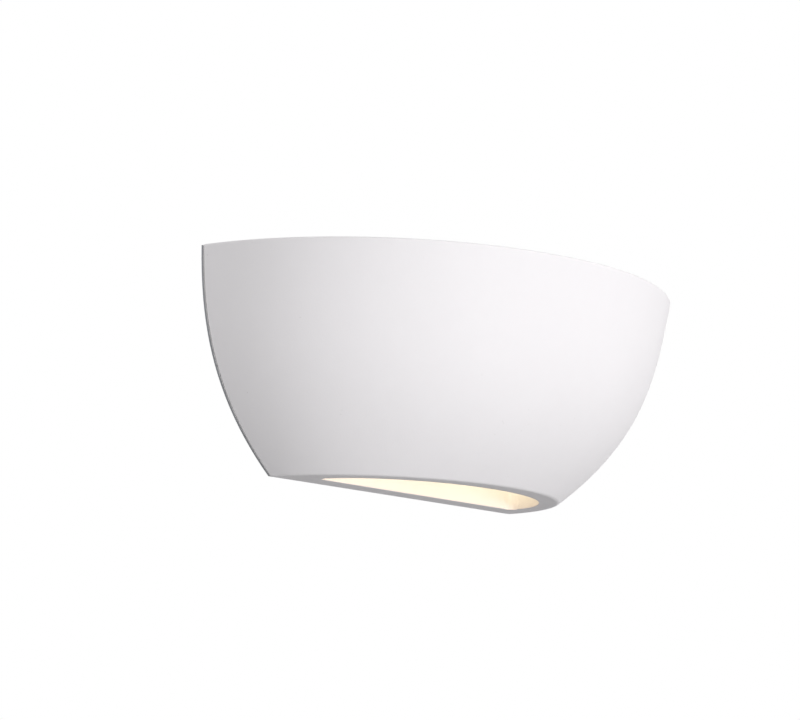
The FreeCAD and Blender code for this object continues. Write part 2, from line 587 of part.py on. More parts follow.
def holder_body(cup_depth):
    """Right-hand ceramic holder: a square barrel round the lamp axis, and a foot below it."""
    half = HOLDER_SIDE / 2.0
    near = LAMP_REACH - half
    far = LAMP_REACH + half
    barrel = block(HOLDER_MOUTH, HOLDER_END, near, far, LAMP_Z - half, LAMP_Z + half)
    foot = block(HOLDER_END - FOOT_THICKNESS, HOLDER_END, near, far, LAMP_Z - FOOT_DROP, LAMP_Z)
    body = one_solid(barrel.fuse(foot))
    body = body.makeFillet(HOLDER_ROUND, edges_along(body, V(1, 0, 0)))
    cup = side_rod(HOLDER_MOUTH - BEYOND, HOLDER_MOUTH + cup_depth, CUP_RADIUS)
    pin_hole = side_rod(HOLDER_MOUTH, HOLDER_END, PIN_RADIUS + SEAT_GAP)
    chamber = side_rod(HOLDER_MOUTH + cup_depth + CUP_FLOOR, HOLDER_END + BEYOND, CHAMBER_RADIUS)
    screw_line = V(0, -LAMP_REACH, HOLDER_SCREW_Z)
    screw_hole = side_rod(HOLDER_MOUTH, HOLDER_END + BEYOND, M3_RADIUS + CLEAR_HOLE_GAP, screw_line)
    return one_solid(body.cut([cup, pin_hole, chamber, screw_hole]))


def holder_screws():
    under_head = V(EAR_OUTER, -LAMP_REACH, HOLDER_SCREW_Z)
    length = STRIP_THICKNESS + FOOT_THICKNESS + M3_NUT_HEIGHT + THREAD_SHOW
    return both_sides(pan_screw(under_head, V(-1, 0, 0), M3_RADIUS, length, M3_HEAD_RADIUS, M3_HEAD_HEIGHT))


def contact_fixed():
    """Brass pin of the left holder: domed tip, flange on the chamber's shoulder, and a tail."""
    tip = CONTACT_HALF_SPAN + SEAT_GAP
    shoulder = HOLDER_MOUTH + FIXED_CUP_DEPTH + CUP_FLOOR
    profile = [(tip, PIN_RADIUS * 0.6), (tip + PIN_RADIUS * 0.4, PIN_RADIUS), (shoulder, PIN_RADIUS),
               (shoulder, FLANGE_RADIUS), (shoulder + FLANGE_THICKNESS, FLANGE_RADIUS),
               (shoulder + FLANGE_THICKNESS, STEM_RADIUS), (TAIL_END, STEM_RADIUS)]
    return turned(profile, -1.0)


def contact_plunger():
    """Brass plunger of the right holder: it slides back when the lamp is pushed towards it."""
    tip = CONTACT_HALF_SPAN + SEAT_GAP
    profile = [(tip, PIN_RADIUS * 0.6), (tip + PIN_RADIUS * 0.4, PIN_RADIUS), (PLUNGER_FLANGE, PIN_RADIUS),
               (PLUNGER_FLANGE, FLANGE_RADIUS), (PLUNGER_BACK, FLANGE_RADIUS), (PLUNGER_BACK, STEM_RADIUS),
               (STEM_END, STEM_RADIUS)]
    return turned(profile)


def contact_seat():
    """Brass disc that closes the right holder's chamber, backs the spring and carries the lead."""
    return turned([(SEAT_FRONT, FLANGE_RADIUS), (HOLDER_END, FLANGE_RADIUS), (HOLDER_END, STEM_RADIUS),
                   (TAIL_END, STEM_RADIUS)])


def contact_spring():
    """Compression spring on the seat, at the length it has with the plunger pushed right back."""
    path = Part.Wire(Part.makeHelix(SPRING_PITCH, SPRING_TURNS * SPRING_PITCH, SPRING_RADIUS).Edges)
    section = Part.Wire([Part.makeCircle(SPRING_WIRE / 2.0, V(SPRING_RADIUS, 0, 0), V(0, 1, 0))])
    spring = path.makePipeShell([section], True, True)
    spring.rotate(V(0, 0, 0), V(0, 1, 0), 90)
    spring.translate(V(SPRING_START, -LAMP_REACH, LAMP_Z))
    return spring


# ---- lamp ---------------------------------------------------------------------------------------

def lamp_tube():
    """Sealed quartz tube with a flat pinch at each end."""
    outside = [(-TUBE_HALF_LENGTH, 0.5), (-TUBE_HALF_LENGTH + TUBE_TAPER * 0.35, TUBE_RADIUS * 0.7),
               (-TUBE_HALF_LENGTH + TUBE_TAPER, TUBE_RADIUS)]
    outside += [(-x, radius) for x, radius in reversed(outside)]
    hollow_end = TUBE_HALF_LENGTH - TUBE_TAPER - TUBE_WALL
    hollow = [(-hollow_end - TUBE_WALL, TUBE_RADIUS * 0.5), (-hollow_end, TUBE_RADIUS - TUBE_WALL)]
    hollow += [(-x, radius) for x, radius in reversed(hollow)]
    pinch_end = CAP_END - CAP_LENGTH + PINCH_OVERLAP
    pinch_start = TUBE_HALF_LENGTH - TUBE_WALL
    pinch = block(pinch_start, pinch_end, LAMP_REACH - PINCH_WIDTH / 2.0, LAMP_REACH + PINCH_WIDTH / 2.0,
                  LAMP_Z - PINCH_THICKNESS / 2.0, LAMP_Z + PINCH_THICKNESS / 2.0)
    return one_solid(turned(outside).fuse(both_sides(pinch)).cut(turned(hollow)))


def lamp_caps():
    """Ceramic end caps: a slot holds the pinch, and the contact lies at the bottom of a recess."""
    start = CAP_END - CAP_LENGTH
    cap = side_rod(start, CAP_END, CAP_RADIUS)
    width = PINCH_WIDTH / 2.0 + RUNNING_GAP
    height = PINCH_THICKNESS / 2.0 + RUNNING_GAP
    pinch_slot = block(start, start + PINCH_OVERLAP + RUNNING_GAP, LAMP_REACH - width, LAMP_REACH + width,
                       LAMP_Z - height, LAMP_Z + height)
    recess = side_rod(CONTACT_HALF_SPAN, CAP_END, CAP_RECESS_RADIUS)
    socket = side_rod(CONTACT_HALF_SPAN - CONTACT_DEPTH, CONTACT_HALF_SPAN, CONTACT_RADIUS)
    return both_sides(one_solid(cap.cut([pinch_slot, recess, socket])))


def lamp_contacts():
    return both_sides(side_rod(CONTACT_HALF_SPAN - CONTACT_DEPTH, CONTACT_HALF_SPAN, CONTACT_RADIUS))


def lamp_filament():
    """Filament along the tube's axis, between the two pinches."""
    half = [(FILAMENT_HALF_LENGTH, FILAMENT_RADIUS), (FILAMENT_HALF_LENGTH, FILAMENT_TAIL_RADIUS),
            (FILAMENT_END, FILAMENT_TAIL_RADIUS)]
    return turned([(-x, radius) for x, radius in reversed(half)] + half)


# ---- terminal block and earth -------------------------------------------------------------------

def terminal_block():
    """Three-pole ceramic block: upright bores for the sleeves, wells for the screws and fixings."""
    body = block(BLOCK_X - BLOCK_HALF_LENGTH, BLOCK_X + BLOCK_HALF_LENGTH, PLATE_THICKNESS, BLOCK_FRONT,
                 BLOCK_BOTTOM_Z, BLOCK_TOP_Z)
    front_edges = [e for e in body.Edges if e.BoundBox.YMax < -BLOCK_FRONT + 1e-3]
    body = body.makeFillet(BLOCK_ROUND, front_edges)
    cuts = []
    for x in POLES_X:
        cuts.append(up_rod(x, POLE_REACH, BLOCK_BOTTOM_Z, BLOCK_TOP_Z, SLEEVE_RADIUS + RUNNING_GAP))
        for z in TERMINAL_SCREWS_Z:
            cuts.append(out_rod(x, z, POLE_REACH, BLOCK_FRONT, TERMINAL_HEAD_RADIUS + CLEAR_HOLE_GAP))
    for x in BLOCK_STUDS_X:
        cuts.append(out_rod(x, BLOCK_MIDDLE_Z, PLATE_THICKNESS, BLOCK_FRONT, M3_RADIUS + CLEAR_HOLE_GAP))
        cuts.append(out_rod(x, BLOCK_MIDDLE_Z, LAND_FRONT, BLOCK_FRONT, M3_NUT_ACROSS / math.sqrt(3.0)
                            + CLEAR_HOLE_GAP))
    return one_solid(body.cut(cuts))


def terminal_sleeves():
    sleeves = []
    for x in POLES_X:
        low = BLOCK_BOTTOM_Z + SLEEVE_MARGIN
        high = BLOCK_TOP_Z - SLEEVE_MARGIN
        bore = up_rod(x, POLE_REACH, low, high, SLEEVE_BORE)
        sleeve = up_rod(x, POLE_REACH, low, high, SLEEVE_RADIUS).cut(bore)
        holes = [out_rod(x, z, POLE_REACH, BLOCK_FRONT, TERMINAL_SCREW_RADIUS) for z in TERMINAL_SCREWS_Z]
        sleeves.append(one_solid(sleeve.cut(holes)))
    return sleeves


def terminal_screws():
    """Clamp screws, two to a pole, with their heads sunk in the block's wells."""
    screws = []
    head_seat = POLE_REACH + SLEEVE_RADIUS + RUNNING_GAP
    length = SLEEVE_RADIUS - LEAD_RADIUS
    for x in POLES_X:
        for z in TERMINAL_SCREWS_Z:
            screws.append(pan_screw(V(x, -head_seat, z), V(0, 1, 0), TERMINAL_SCREW_RADIUS, length,
                                    TERMINAL_HEAD_RADIUS, TERMINAL_HEAD_HEIGHT))
    return screws


def earth_ring():
    """Crimped ring terminal under the earth nut: its barrel points away from the middle."""
    flat = out_rod(EARTH_X, EARTH_Z, PLATE_THICKNESS, PLATE_THICKNESS + RING_THICKNESS, RING_RADIUS)
    line = V(0, -CRIMP_REACH, EARTH_Z)
    barrel = side_rod(CRIMP_X, CRIMP_END, CRIMP_RADIUS, line)
    neck = block(CRIMP_END - CRIMP_LAP, EARTH_X, PLATE_THICKNESS, PLATE_THICKNESS + RING_THICKNESS,
                 EARTH_Z - CRIMP_RADIUS, EARTH_Z + CRIMP_RADIUS)
    hole = out_rod(EARTH_X, EARTH_Z, 0, BLOCK_FRONT, M4_RADIUS + CLEAR_HOLE_GAP)
    return one_solid(flat.fuse([barrel, neck]).cut(hole))


# ---- studs, nuts and washers --------------------------------------------------------------------

def m4_stud_places():
    """Position of each large weld stud, with the thickness of what it clamps."""
    return [(-ARM_STUD_X, ARM_STUD_Z, STRIP_THICKNESS), (ARM_STUD_X, ARM_STUD_Z, STRIP_THICKNESS),
            (EARTH_X, EARTH_Z, RING_THICKNESS)]


def studs_m4():
    studs = []
    for x, z, clamped in m4_stud_places():
        end = PLATE_THICKNESS + clamped + M4_WASHER_THICKNESS + M4_NUT_HEIGHT + THREAD_SHOW
        studs.append(out_rod(x, z, PLATE_THICKNESS, end, M4_RADIUS))
    return studs


def washers_m4():
    washers = []
    for x, z, clamped in m4_stud_places():
        near = PLATE_THICKNESS + clamped
        disc = out_rod(x, z, near, near + M4_WASHER_THICKNESS, M4_WASHER_RADIUS)
        washers.append(disc.cut(out_rod(x, z, near, near + M4_WASHER_THICKNESS, M4_RADIUS + CLEAR_HOLE_GAP)))
    return washers


def nuts_m4():
    """Nuts on the large studs and under the two bracket screws."""
    nuts = []
    for x, z, clamped in m4_stud_places():
        seat = V(x, -PLATE_THICKNESS - clamped - M4_WASHER_THICKNESS, z)
        nuts.append(hexagon(seat, V(0, -1, 0), M4_NUT_ACROSS, M4_NUT_HEIGHT, M4_RADIUS))
    below = hexagon(V(BRACKET_SCREW_X, -LAMP_REACH, ARM_BOTTOM_Z), V(0, 0, -1), M4_NUT_ACROSS,
                    M4_NUT_HEIGHT, M4_RADIUS)
    return nuts + both_sides(below)


def studs_m3():
    end = LAND_FRONT + M3_NUT_HEIGHT + THREAD_SHOW
    return [out_rod(x, BLOCK_MIDDLE_Z, PLATE_THICKNESS, end, M3_RADIUS) for x in BLOCK_STUDS_X]


def nuts_m3():
    """Nuts in the terminal block's wells and inside the lampholders' feet."""
    nuts = [hexagon(V(x, -LAND_FRONT, BLOCK_MIDDLE_Z), V(0, -1, 0), M3_NUT_ACROSS, M3_NUT_HEIGHT, M3_RADIUS)
            for x in BLOCK_STUDS_X]
    foot_face = V(HOLDER_END - FOOT_THICKNESS, -LAMP_REACH, HOLDER_SCREW_Z)
    return nuts + both_sides(hexagon(foot_face, V(-1, 0, 0), M3_NUT_ACROSS, M3_NUT_HEIGHT, M3_RADIUS))


# ---- leads --------------------------------------------------------------------------------------

def lead(name, points):
    """Round lead along straight runs joined by tangent arcs, each as large as its two runs allow."""
    edges = []
    start = points[0]
    for before, corner, after in zip(points, points[1:], points[2:]):
        back = before - corner
        ahead = after - corner
        shorter = min(back.Length, ahead.Length)
        half_turn = (math.pi - back.getAngle(ahead)) / 2.0
        trim = 0.45 * shorter
        radius = trim / math.tan(half_turn)
        print(name, "bend radius", round(radius, 1))
        back.normalize()
        ahead.normalize()
        bisector = back + ahead
        bisector.normalize()
        arc_start = corner + back * trim
        arc_end = corner + ahead * trim
        middle = corner + bisector * (radius / math.cos(half_turn) - radius)
        edges.append(Part.LineSegment(start, arc_start).toShape())
        edges.append(Part.Arc(arc_start, middle, arc_end).toShape())
        start = arc_end
    edges.append(Part.LineSegment(start, points[-1]).toShape())
    path = Part.Wire(edges)
    direction = points[1] - points[0]
    section = Part.Wire([Part.makeCircle(LEAD_RADIUS, points[0], direction)])
    solid = path.makePipeShell([section], True, False)
    print(name, "length", round(path.Length, 1), "volume ratio",
          round(solid.Volume / (path.Length * math.pi * LEAD_RADIUS ** 2), 4))
    return solid


def steps_from(place, side, rows):
    """Points at given steps from a place: away from the middle on one side, to the room, and up."""
    return [place + V(side * outward, -towards_room, up) for outward, towards_room, up in rows]


def pole_entry(pole):
    """Point above a pole of the block, and where a lead ends inside its sleeve."""
    x = POLES_X[pole]
    return [V(x, -POLE_REACH, BLOCK_TOP_Z + LEAD_RISE), V(x, -POLE_REACH, BLOCK_TOP_Z - LEAD_INSERT)]


def live_lead():
    start = V(-TAIL_END, -LAMP_REACH, LAMP_Z)
    entry = pole_entry(0)
    return lead("live_lead", [start] + steps_from(start, -1.0, LIVE_FROM_LAMP)
                + steps_from(entry[0], -1.0, LIVE_TO_POLE) + entry)


def neutral_lead():
    start = V(TAIL_END, -LAMP_REACH, LAMP_Z)
    entry = pole_entry(2)
    return lead("neutral_lead", [start] + steps_from(start, 1.0, NEUTRAL_FROM_LAMP)
                + steps_from(entry[0], -1.0, NEUTRAL_TO_POLE) + entry)


def earth_lead():
    start = V(CRIMP_X, -CRIMP_REACH, EARTH_Z)
    entry = pole_entry(1)
    return lead("earth_lead", [start] + steps_from(start, -1.0, EARTH_FROM_CRIMP)
                + steps_from(entry[0], -1.0, EARTH_TO_POLE) + entry)


# ---- write every sub-part -----------------------------------------------------------------------

def write(node, shape):
    solids = shape if isinstance(shape, list) else [shape]
    whole = solids[0] if len(solids) == 1 else Part.makeCompound(solids)
    print(node, len(whole.Solids), "solids, valid", whole.isValid(), "volume", round(whole.Volume, 1))
    whole.exportStep("parts/" + node + ".step")


def main():
    os.makedirs("parts", exist_ok=True)
    write("bowl", bowl())
    write("back_plate", back_plate())
    write("cable_grommet", cable_grommet())
    write("bowl_studs", bowl_studs())
    write("hanger_plates", hanger_plates())
    write("hanger_screws", hanger_screws())
    write("thumb_nut_right", thumb_nut())
    write("thumb_nut_left", mirrored(thumb_nut()))
    write("lamp_arm", lamp_arm())
    write("lamp_bracket", lamp_bracket())
    write("bracket_screws", bracket_screws())
    write("lampholder_left", mirrored(holder_body(FIXED_CUP_DEPTH)))
    write("lampholder_right", holder_body(SPRUNG_CUP_DEPTH))
    write("holder_screws", holder_screws())
    write("contact_fixed", contact_fixed())
    write("contact_plunger", contact_plunger())
    write("contact_seat", contact_seat())
    write("contact_spring", contact_spring())
    write("lamp_tube", lamp_tube())
    write("lamp_caps", lamp_caps())
    write("lamp_contacts", lamp_contacts())
    write("lamp_filament", lamp_filament())
    write("terminal_block", terminal_block())
    write("terminal_sleeves", terminal_sleeves())
    write("terminal_screws", terminal_screws())
    write("earth_ring", earth_ring())
    write("studs_m4", studs_m4())
    write("washers_m4", washers_m4())
    write("nuts_m4", nuts_m4())
    write("studs_m3", studs_m3())
    write("nuts_m3", nuts_m3())
    write("live_lead", live_lead())
    write("neutral_lead", neutral_lead())
    write("earth_lead", earth_lead())


main()
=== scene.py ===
import math

import bmesh
import bpy
import numpy as np
from bpy.props import FloatProperty, FloatVectorProperty, IntProperty, PointerProperty
from bpy.types import Operator, Panel, PropertyGroup
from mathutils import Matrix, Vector


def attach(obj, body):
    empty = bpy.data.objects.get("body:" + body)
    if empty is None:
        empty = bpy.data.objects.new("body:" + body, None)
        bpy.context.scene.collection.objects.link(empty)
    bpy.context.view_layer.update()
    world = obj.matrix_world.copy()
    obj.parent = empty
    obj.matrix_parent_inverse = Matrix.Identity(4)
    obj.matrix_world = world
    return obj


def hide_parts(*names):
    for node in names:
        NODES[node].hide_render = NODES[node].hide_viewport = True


bl_info = {
    "name": "Uplighter Wall Sconce",
    "version": (1, 0, 0),
    "blender": (4, 5, 0),
    "location": "3D View > Sidebar > Sconce",
    "description": "Dresses a plaster half-bowl wall light: bowl, mountings, holders, lamp, wiring, stage",
    "category": "Object",
}

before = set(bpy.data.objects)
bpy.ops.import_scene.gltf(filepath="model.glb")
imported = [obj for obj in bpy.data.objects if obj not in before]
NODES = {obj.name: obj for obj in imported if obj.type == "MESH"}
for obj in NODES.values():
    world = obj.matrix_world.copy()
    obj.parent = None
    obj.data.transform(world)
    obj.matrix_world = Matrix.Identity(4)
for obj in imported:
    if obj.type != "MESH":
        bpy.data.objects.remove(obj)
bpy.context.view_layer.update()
FRONT_FACE = -0.00115             # just behind the back plate's front face, which lies at -0.0012
DOUBLES = 0.000002                # points closer than this are one point
NEAR = 0.00002                    # a point this close to an edge's place lies on that edge
CREASE = math.radians(32.0)       # edges of the bowl sharper than this stay sharp
CAD_CREASE = math.radians(28.0)   # the same for the CAD meshes


# ---- settings

def length(name, description, default):
    """Distance in metres."""
    return FloatProperty(name=name, description=description, default=default, unit="LENGTH",
                         subtype="DISTANCE", precision=4, min=0.0)


def colour(name, description, default):
    """Linear colour."""
    return FloatVectorProperty(name=name, description=description, default=default, subtype="COLOR",
                               size=3, min=0.0, max=1.0)


def number(name, description, default, low=0.0, high=1000.0):
    """Plain number."""
    return FloatProperty(name=name, description=description, default=default, min=low, max=high)


def angle(name, description, degrees):
    """Angle, given in degrees."""
    return FloatProperty(name=name, description=description, default=math.radians(degrees), subtype="ANGLE")


def count(name, description, default):
    """Whole number of mesh parts."""
    return IntProperty(name=name, description=description, default=default, min=2)


class SconceBowlSettings(PropertyGroup):
    height: length("Height", "Height of the bowl", 0.120)
    fixing_height: length("Fixing height", "Height of the wall fixings above the bowl's foot", 0.060)
    bottom_half_width: length("Foot half width", "Half width at the foot", 0.127)
    lower_half_width: length("Lower half width", "Half width the profile is drawn to, a third up", 0.180)
    top_half_width: length("Rim half width", "Half width from two thirds up to the rim", 0.189)
    bottom_depth: length("Foot depth", "Reach from the wall at the foot", 0.084)
    lower_depth: length("Lower depth", "Reach that the profile is drawn to, a third up", 0.140)
    upper_depth: length("Upper depth", "Reach that the profile is drawn to, two thirds up", 0.145)
    top_depth: length("Rim depth", "Reach from the wall at the rim", 0.157)
    wall: length("Wall", "Thickness of the wall", 0.009)
    floor: length("Floor", "Thickness of the floor", 0.012)
    rear_gap: length("Rear gap", "Distance of the bowl's rear face from the wall", 0.0015)
    edge_round: length("Edge round", "Radius of the rim, foot and rear edges", 0.0014)
    slot_half_width: length("Slot half width", "Half width of the light slot", 0.1035)
    slot_depth: length("Slot depth", "Depth of the half-elliptical light slot", 0.054)
    slot_back: length("Slot back", "Distance of the slot's straight side from the wall", 0.017)
    slot_corner: length("Slot corner", "Radius of the slot's two rear corners", 0.005)
    slot_round: length("Slot edge round", "Radius of the slot's lower edge", 0.0008)
    boss_inner: length("Boss inner side", "Distance of each boss's inner side from the middle", 0.14508)
    boss_near: length("Boss face", "Distance of each boss's rear face from the wall", 0.0073)
    boss_far: length("Boss reach", "Distance of each boss's front face from the wall", 0.024)
    boss_bottom: length("Boss bottom", "Height of the bosses' foot above the wall fixings", 0.003)
    boss_top: length("Boss top", "Height of the bosses' top above the wall fixings", 0.053)
    boss_round: length("Boss round", "Radius of the bosses' inner edges", 0.004)
    cells_round: count("Cells round", "Mesh cells round the bowl", 176)
    cells_up: count("Cells up", "Mesh cells up the bowl", 54)
    cells_floor: count("Cells of the floor", "Mesh cells up the floor and across it", 6)
    cells_rear: count("Cells at the rear", "Mesh cells along the foot's rear edge", 90)
    cells_corner: count("Cells of a corner", "Mesh cells round a corner of the slot", 5)


class SconceFinishSettings(PropertyGroup):
    plaster: colour("Plaster", "Matt white casting plaster", (0.872, 0.851, 0.868))
    # Painted shade: the pinholes' darker plaster stands in for the shade inside them.
    pit_shade: colour("Pits", "Plaster in its pinholes", (0.78, 0.76, 0.77))
    coat: colour("Powder coat", "White powder coat on steel", (0.80, 0.80, 0.79))
    # Grey on the plate's rear face and cut edge: a backing coat, and on the edge also painted shade, the dark
    # shadow line along the bowl's rear edge.
    backing_and_painted_shade: colour("Backing coat", "Grey coat on the plate's rear and edge", (0.30, 0.305, 0.33))
    zinc: colour("Zinc", "Bright zinc plate", (0.62, 0.63, 0.64))
    brass: colour("Brass", "Turned brass", (0.78, 0.60, 0.28))
    ceramic: colour("Ceramic", "Fired steatite", (0.86, 0.84, 0.79))
    cap: colour("Cap", "Fired steatite of the lamp's end caps", (0.88, 0.87, 0.84))
    rubber: colour("Rubber", "Grommet rubber", (0.075, 0.075, 0.078))
    spring: colour("Spring steel", "Drawn spring wire", (0.45, 0.45, 0.46))
    nickel: colour("Nickel", "Nickel plate on the lamp's contacts", (0.70, 0.70, 0.68))
    tin: colour("Tin", "Tinned copper", (0.75, 0.73, 0.70))
    quartz: colour("Quartz", "Clear quartz tube", (0.97, 0.98, 1.0))
    sleeve: colour("White sleeve", "Woven glass sleeve", (0.80, 0.79, 0.75))
    earth: colour("Green sleeve", "Woven glass sleeve of the earth lead", (0.20, 0.42, 0.09))
    grain: length("Plaster grain", "Depth of the plaster's fine grain", 0.00005)


class SconceLampSettings(PropertyGroup):
    half_length: length("Coil half length", "Half length of the filament coil", 0.034)
    end: length("Tail end", "Distance of each filament tail's end from the middle", 0.0384)
    coil_radius: length("Coil radius", "Outer radius of the filament coil", 0.0008)
    wire_radius: length("Wire radius", "Radius of the filament wire", 0.00014)
    tail_radius: length("Tail radius", "Radius of the filament's straight tails", 0.0003)
    tail_overlap: length("Tail overlap", "How far each tail reaches into the coil", 0.001)
    turns: count("Turns", "Turns of the filament coil", 110)
    reach: length("Lamp reach", "Distance of the lamp's axis from the wall", 0.072)
    rise: length("Lamp height", "Height of the lamp's axis above the wall fixings", 0.008)
    fog_start: length("Fog start", "Distance from the middle at which the tube turns cloudy", 0.036)
    light: colour("Lamp light", "Colour of the lamp's light", (1.0, 0.82, 0.45))
    # Painted lamp light: the three glow colours below tint an emission on the plaster that stands in for the
    # lamp's light on it.
    glow_low: colour("Low glow", "Colour of the glow at the slot's lower edge", (0.64, 0.38, 0.12))
    glow_middle: colour("Middle glow", "Colour of the glow at the slot's upper edge", (0.98, 0.80, 0.36))
    glow_high: colour("High glow", "Colour of the glow on the inside of the bowl", (0.62, 0.48, 0.28))
    power: number("Lamp power", "Power of each of the two lights in the tube, in watts", 0.022)
    light_offset: length("Light offset", "Distance of those two lights from the middle", 0.034)
    light_radius: length("Light radius", "Radius of those two lights", 0.004)
    wire_glow: number("Wire glow", "Strength of the filament's own light", 9.0)
    # Painted lamp light: strength, length and reach of the emission painted on the plaster.
    glow: number("Glow", "Strength of the light that the lit plaster gives back", 0.42)
    glow_half_length: length("Glow half length", "Half length of the stretch of tube that glows", 0.04)
    glow_reach: length("Glow reach", "Distance from the tube at which the glow has halved", 0.25)


class SconceStageSettings(PropertyGroup):
    floor_drop: length("Floor drop", "Depth of the floor below the wall fixings", 1.15)
    floor_radius: length("Floor radius", "Radius of the floor", 6.0)
    floor_rings: count("Floor rings", "Rings of the floor's mesh", 12)
    floor_sides: count("Floor sides", "Points round the floor", 96)
    floor_bounce: number("Floor bounce", "Reflectance of the floor as the light meets it", 0.42)
    floor_pale: number("Floor tone", "Reflectance of the floor as the camera sees it", 0.90)
    floor_lift: number("Floor lift", "Light that the floor gives the camera beside its reflection", 0.30)
    fade_start: length("Fade start", "Distance at which the floor begins to turn white", 1.1)
    fade_end: length("Fade end", "Distance at which the floor is white", 2.2)
    ambient: number("Ambient", "Level of the light from all round", 0.50)
    from_above: number("From above", "How much brighter the room is overhead", 0.19)
    from_left: number("From the left", "How much brighter the room is on the left", 0.12)
    front_power: number("Front power", "Power of the front light, in watts", 51.0)
    top_power: number("Top power", "Power of the overhead light, in watts", 7.0)
    side_power: number("Side power", "Power of the light from the left, in watts", 12.0)
    rear_power: number("Rear power", "Power of the light behind the wall plane, in watts", 24.0)
    camera_distance: length("Camera distance", "Distance of the camera from what it looks at", 1.44)
    azimuth: angle("Azimuth", "Turn of the camera round the light, towards the left", 57.432)
    drop: angle("Drop", "Angle of the camera below the level", 8.399)
    lens: number("Lens", "Focal length in millimetres on a 36 mm sensor", 109.75)
    shift_x: number("Shift X", "Sideways shift of the view", -0.05854, -1.0, 1.0)
    shift_y: number("Shift Y", "Upward shift of the view", 0.04073, -1.0, 1.0)


# ---- meshes

def cubic(controls, rise):
    """Cubic profile: each control value is weighed by its Bernstein share of the rise, 0 to 1."""
    rest = 1.0 - rise
    shares = (rest ** 3, 3 * rest ** 2 * rise, 3 * rest * rise ** 2, rise ** 3)
    return sum(share * control for share, control in zip(shares, controls))


def grid_faces(rows, columns, start=0, wrap=False):
    """Quads of a grid of points stored row by row, closed sideways when wrap is set."""
    across = columns if wrap else columns - 1
    row, column = np.meshgrid(np.arange(rows - 1), np.arange(across), indexing="ij")
    first = start + row * columns + column
    second = start + row * columns + (column + 1) % columns
    return np.stack([first, second, second + columns, first + columns], -1).reshape(-1, 4)


def new_piece(name, points, faces, merge=0.0):
    """Mesh object from point and face arrays; doubles are merged and its faces then turned outwards."""
    mesh = bpy.data.meshes.new(name)
    mesh.from_pydata(points.tolist(), [], faces)
    piece = bpy.data.objects.new(name, mesh)
    bpy.context.scene.collection.objects.link(piece)
    if merge:
        shape = bmesh.new()
        shape.from_mesh(mesh)
        bmesh.ops.remove_doubles(shape, verts=shape.verts, dist=merge)
        bmesh.ops.recalc_face_normals(shape, faces=shape.faces)
        shape.to_mesh(mesh)
        shape.free()
    mesh.shade_smooth()
    mesh.update()
    return piece


def read(items, key, parts=1, kind=float):
    """One attribute of all the vertices, edges, loops or faces of a mesh, one row each."""
    flat = np.empty(len(items) * parts, dtype=kind)
    items.foreach_get(key, flat)
    return flat.reshape(-1, parts) if parts > 1 else flat


def bevel_edges(piece, weights, width, segments):
    """Bevel that follows a weight on each edge."""
    layer = piece.data.attributes.new("bevel_weight_edge", "FLOAT", "EDGE")
    layer.data.foreach_set("value", weights)
    bevel = piece.modifiers.new("edge rounds", "BEVEL")
    bevel.limit_method = "WEIGHT"
    bevel.width = width
    bevel.segments = segments
    bevel.harden_normals = True


def route_line(points):
    """Points along the smooth line that a lead's route gives: a NURBS of order 3 with its ends kept."""
    curve = bpy.data.curves.new("route", "CURVE")
    curve.dimensions = "3D"
    spline = curve.splines.new("NURBS")
    spline.points.add(len(points) - 1)
    spline.points.foreach_set("co", np.column_stack([points, np.ones(len(points))]).ravel())
    spline.order_u = 3
    spline.use_endpoint_u = True
    spline.resolution_u = 14
    holder = bpy.data.objects.new("route", curve)
    line = bpy.data.meshes.new_from_object(holder)
    found = read(line.vertices, "co", 3)
    bpy.data.objects.remove(holder)
    bpy.data.curves.remove(curve)
    bpy.data.meshes.remove(line)
    return found


def sweep(line, radius, sides, first, second):
    """Tube: at each point p of the line, the circle p + radius (cos t * first + sin t * second).

    Returns its points, circle by circle, and its faces with flat ends.
    """
    turn = np.arange(sides) * (2 * math.pi / sides)
    ring = (np.cos(turn)[None, :, None] * first[:, None, :]
            + np.sin(turn)[None, :, None] * second[:, None, :])
    points = (line[:, None, :] + radius * ring).reshape(-1, 3)
    last = (len(line) - 1) * sides
    ends = [list(range(sides))[::-1], list(range(last, last + sides))]
    return points, grid_faces(len(line), sides, 0, True).tolist() + ends


def tube_along(line, radius, sides, reference):
    """Tube whose circles stand square to the line, turned by a fixed reference direction."""
    ahead = np.gradient(line, axis=0)
    ahead /= np.linalg.norm(ahead, axis=1)[:, None]
    first = np.cross(ahead, reference)
    first /= np.linalg.norm(first, axis=1)[:, None]
    return sweep(line, radius, sides, first, np.cross(ahead, first))


def wrap_map(piece, line, sides, radius):
    """UV map of a tube: U runs along it and V round it, both in turns of the tube's girth."""
    mesh = piece.data
    layer = mesh.uv_layers.new(name="UVMap")
    steps = np.concatenate([[0.0], np.cumsum(np.linalg.norm(np.diff(line, axis=0), axis=1))])
    corner = read(mesh.loops, "vertex_index", 1, int)
    along = steps[corner // sides] / (2 * math.pi * radius)
    around = (corner % sides) / sides
    total = len(mesh.polygons)
    face_of = np.repeat(np.arange(total), read(mesh.polygons, "loop_total", 1, int))
    widest = np.zeros(total)
    np.maximum.at(widest, face_of, around)
    least = np.ones(total)
    np.minimum.at(least, face_of, around)
    seam = (widest - least)[face_of] > 0.5
    around = np.where(seam & (around < 0.5), around + 1.0, around)
    layer.data.foreach_set("uv", np.column_stack([along, around]).ravel())


# ---- shader nodes

def feed(node, inputs):
    """Fills a node's inputs: each is linked to an output or set to a plain value."""
    for key, value in inputs.items():
        if isinstance(value, bpy.types.NodeSocket):
            node.id_data.links.new(value, node.inputs[key])
        else:
            node.inputs[key].default_value = value


def add(tree, kind, inputs=None, **settings):
    """Node with its settings and its filled inputs."""
    node = tree.nodes.new(kind)
    for key, value in settings.items():
        setattr(node, key, value)
    feed(node, inputs or {})
    return node


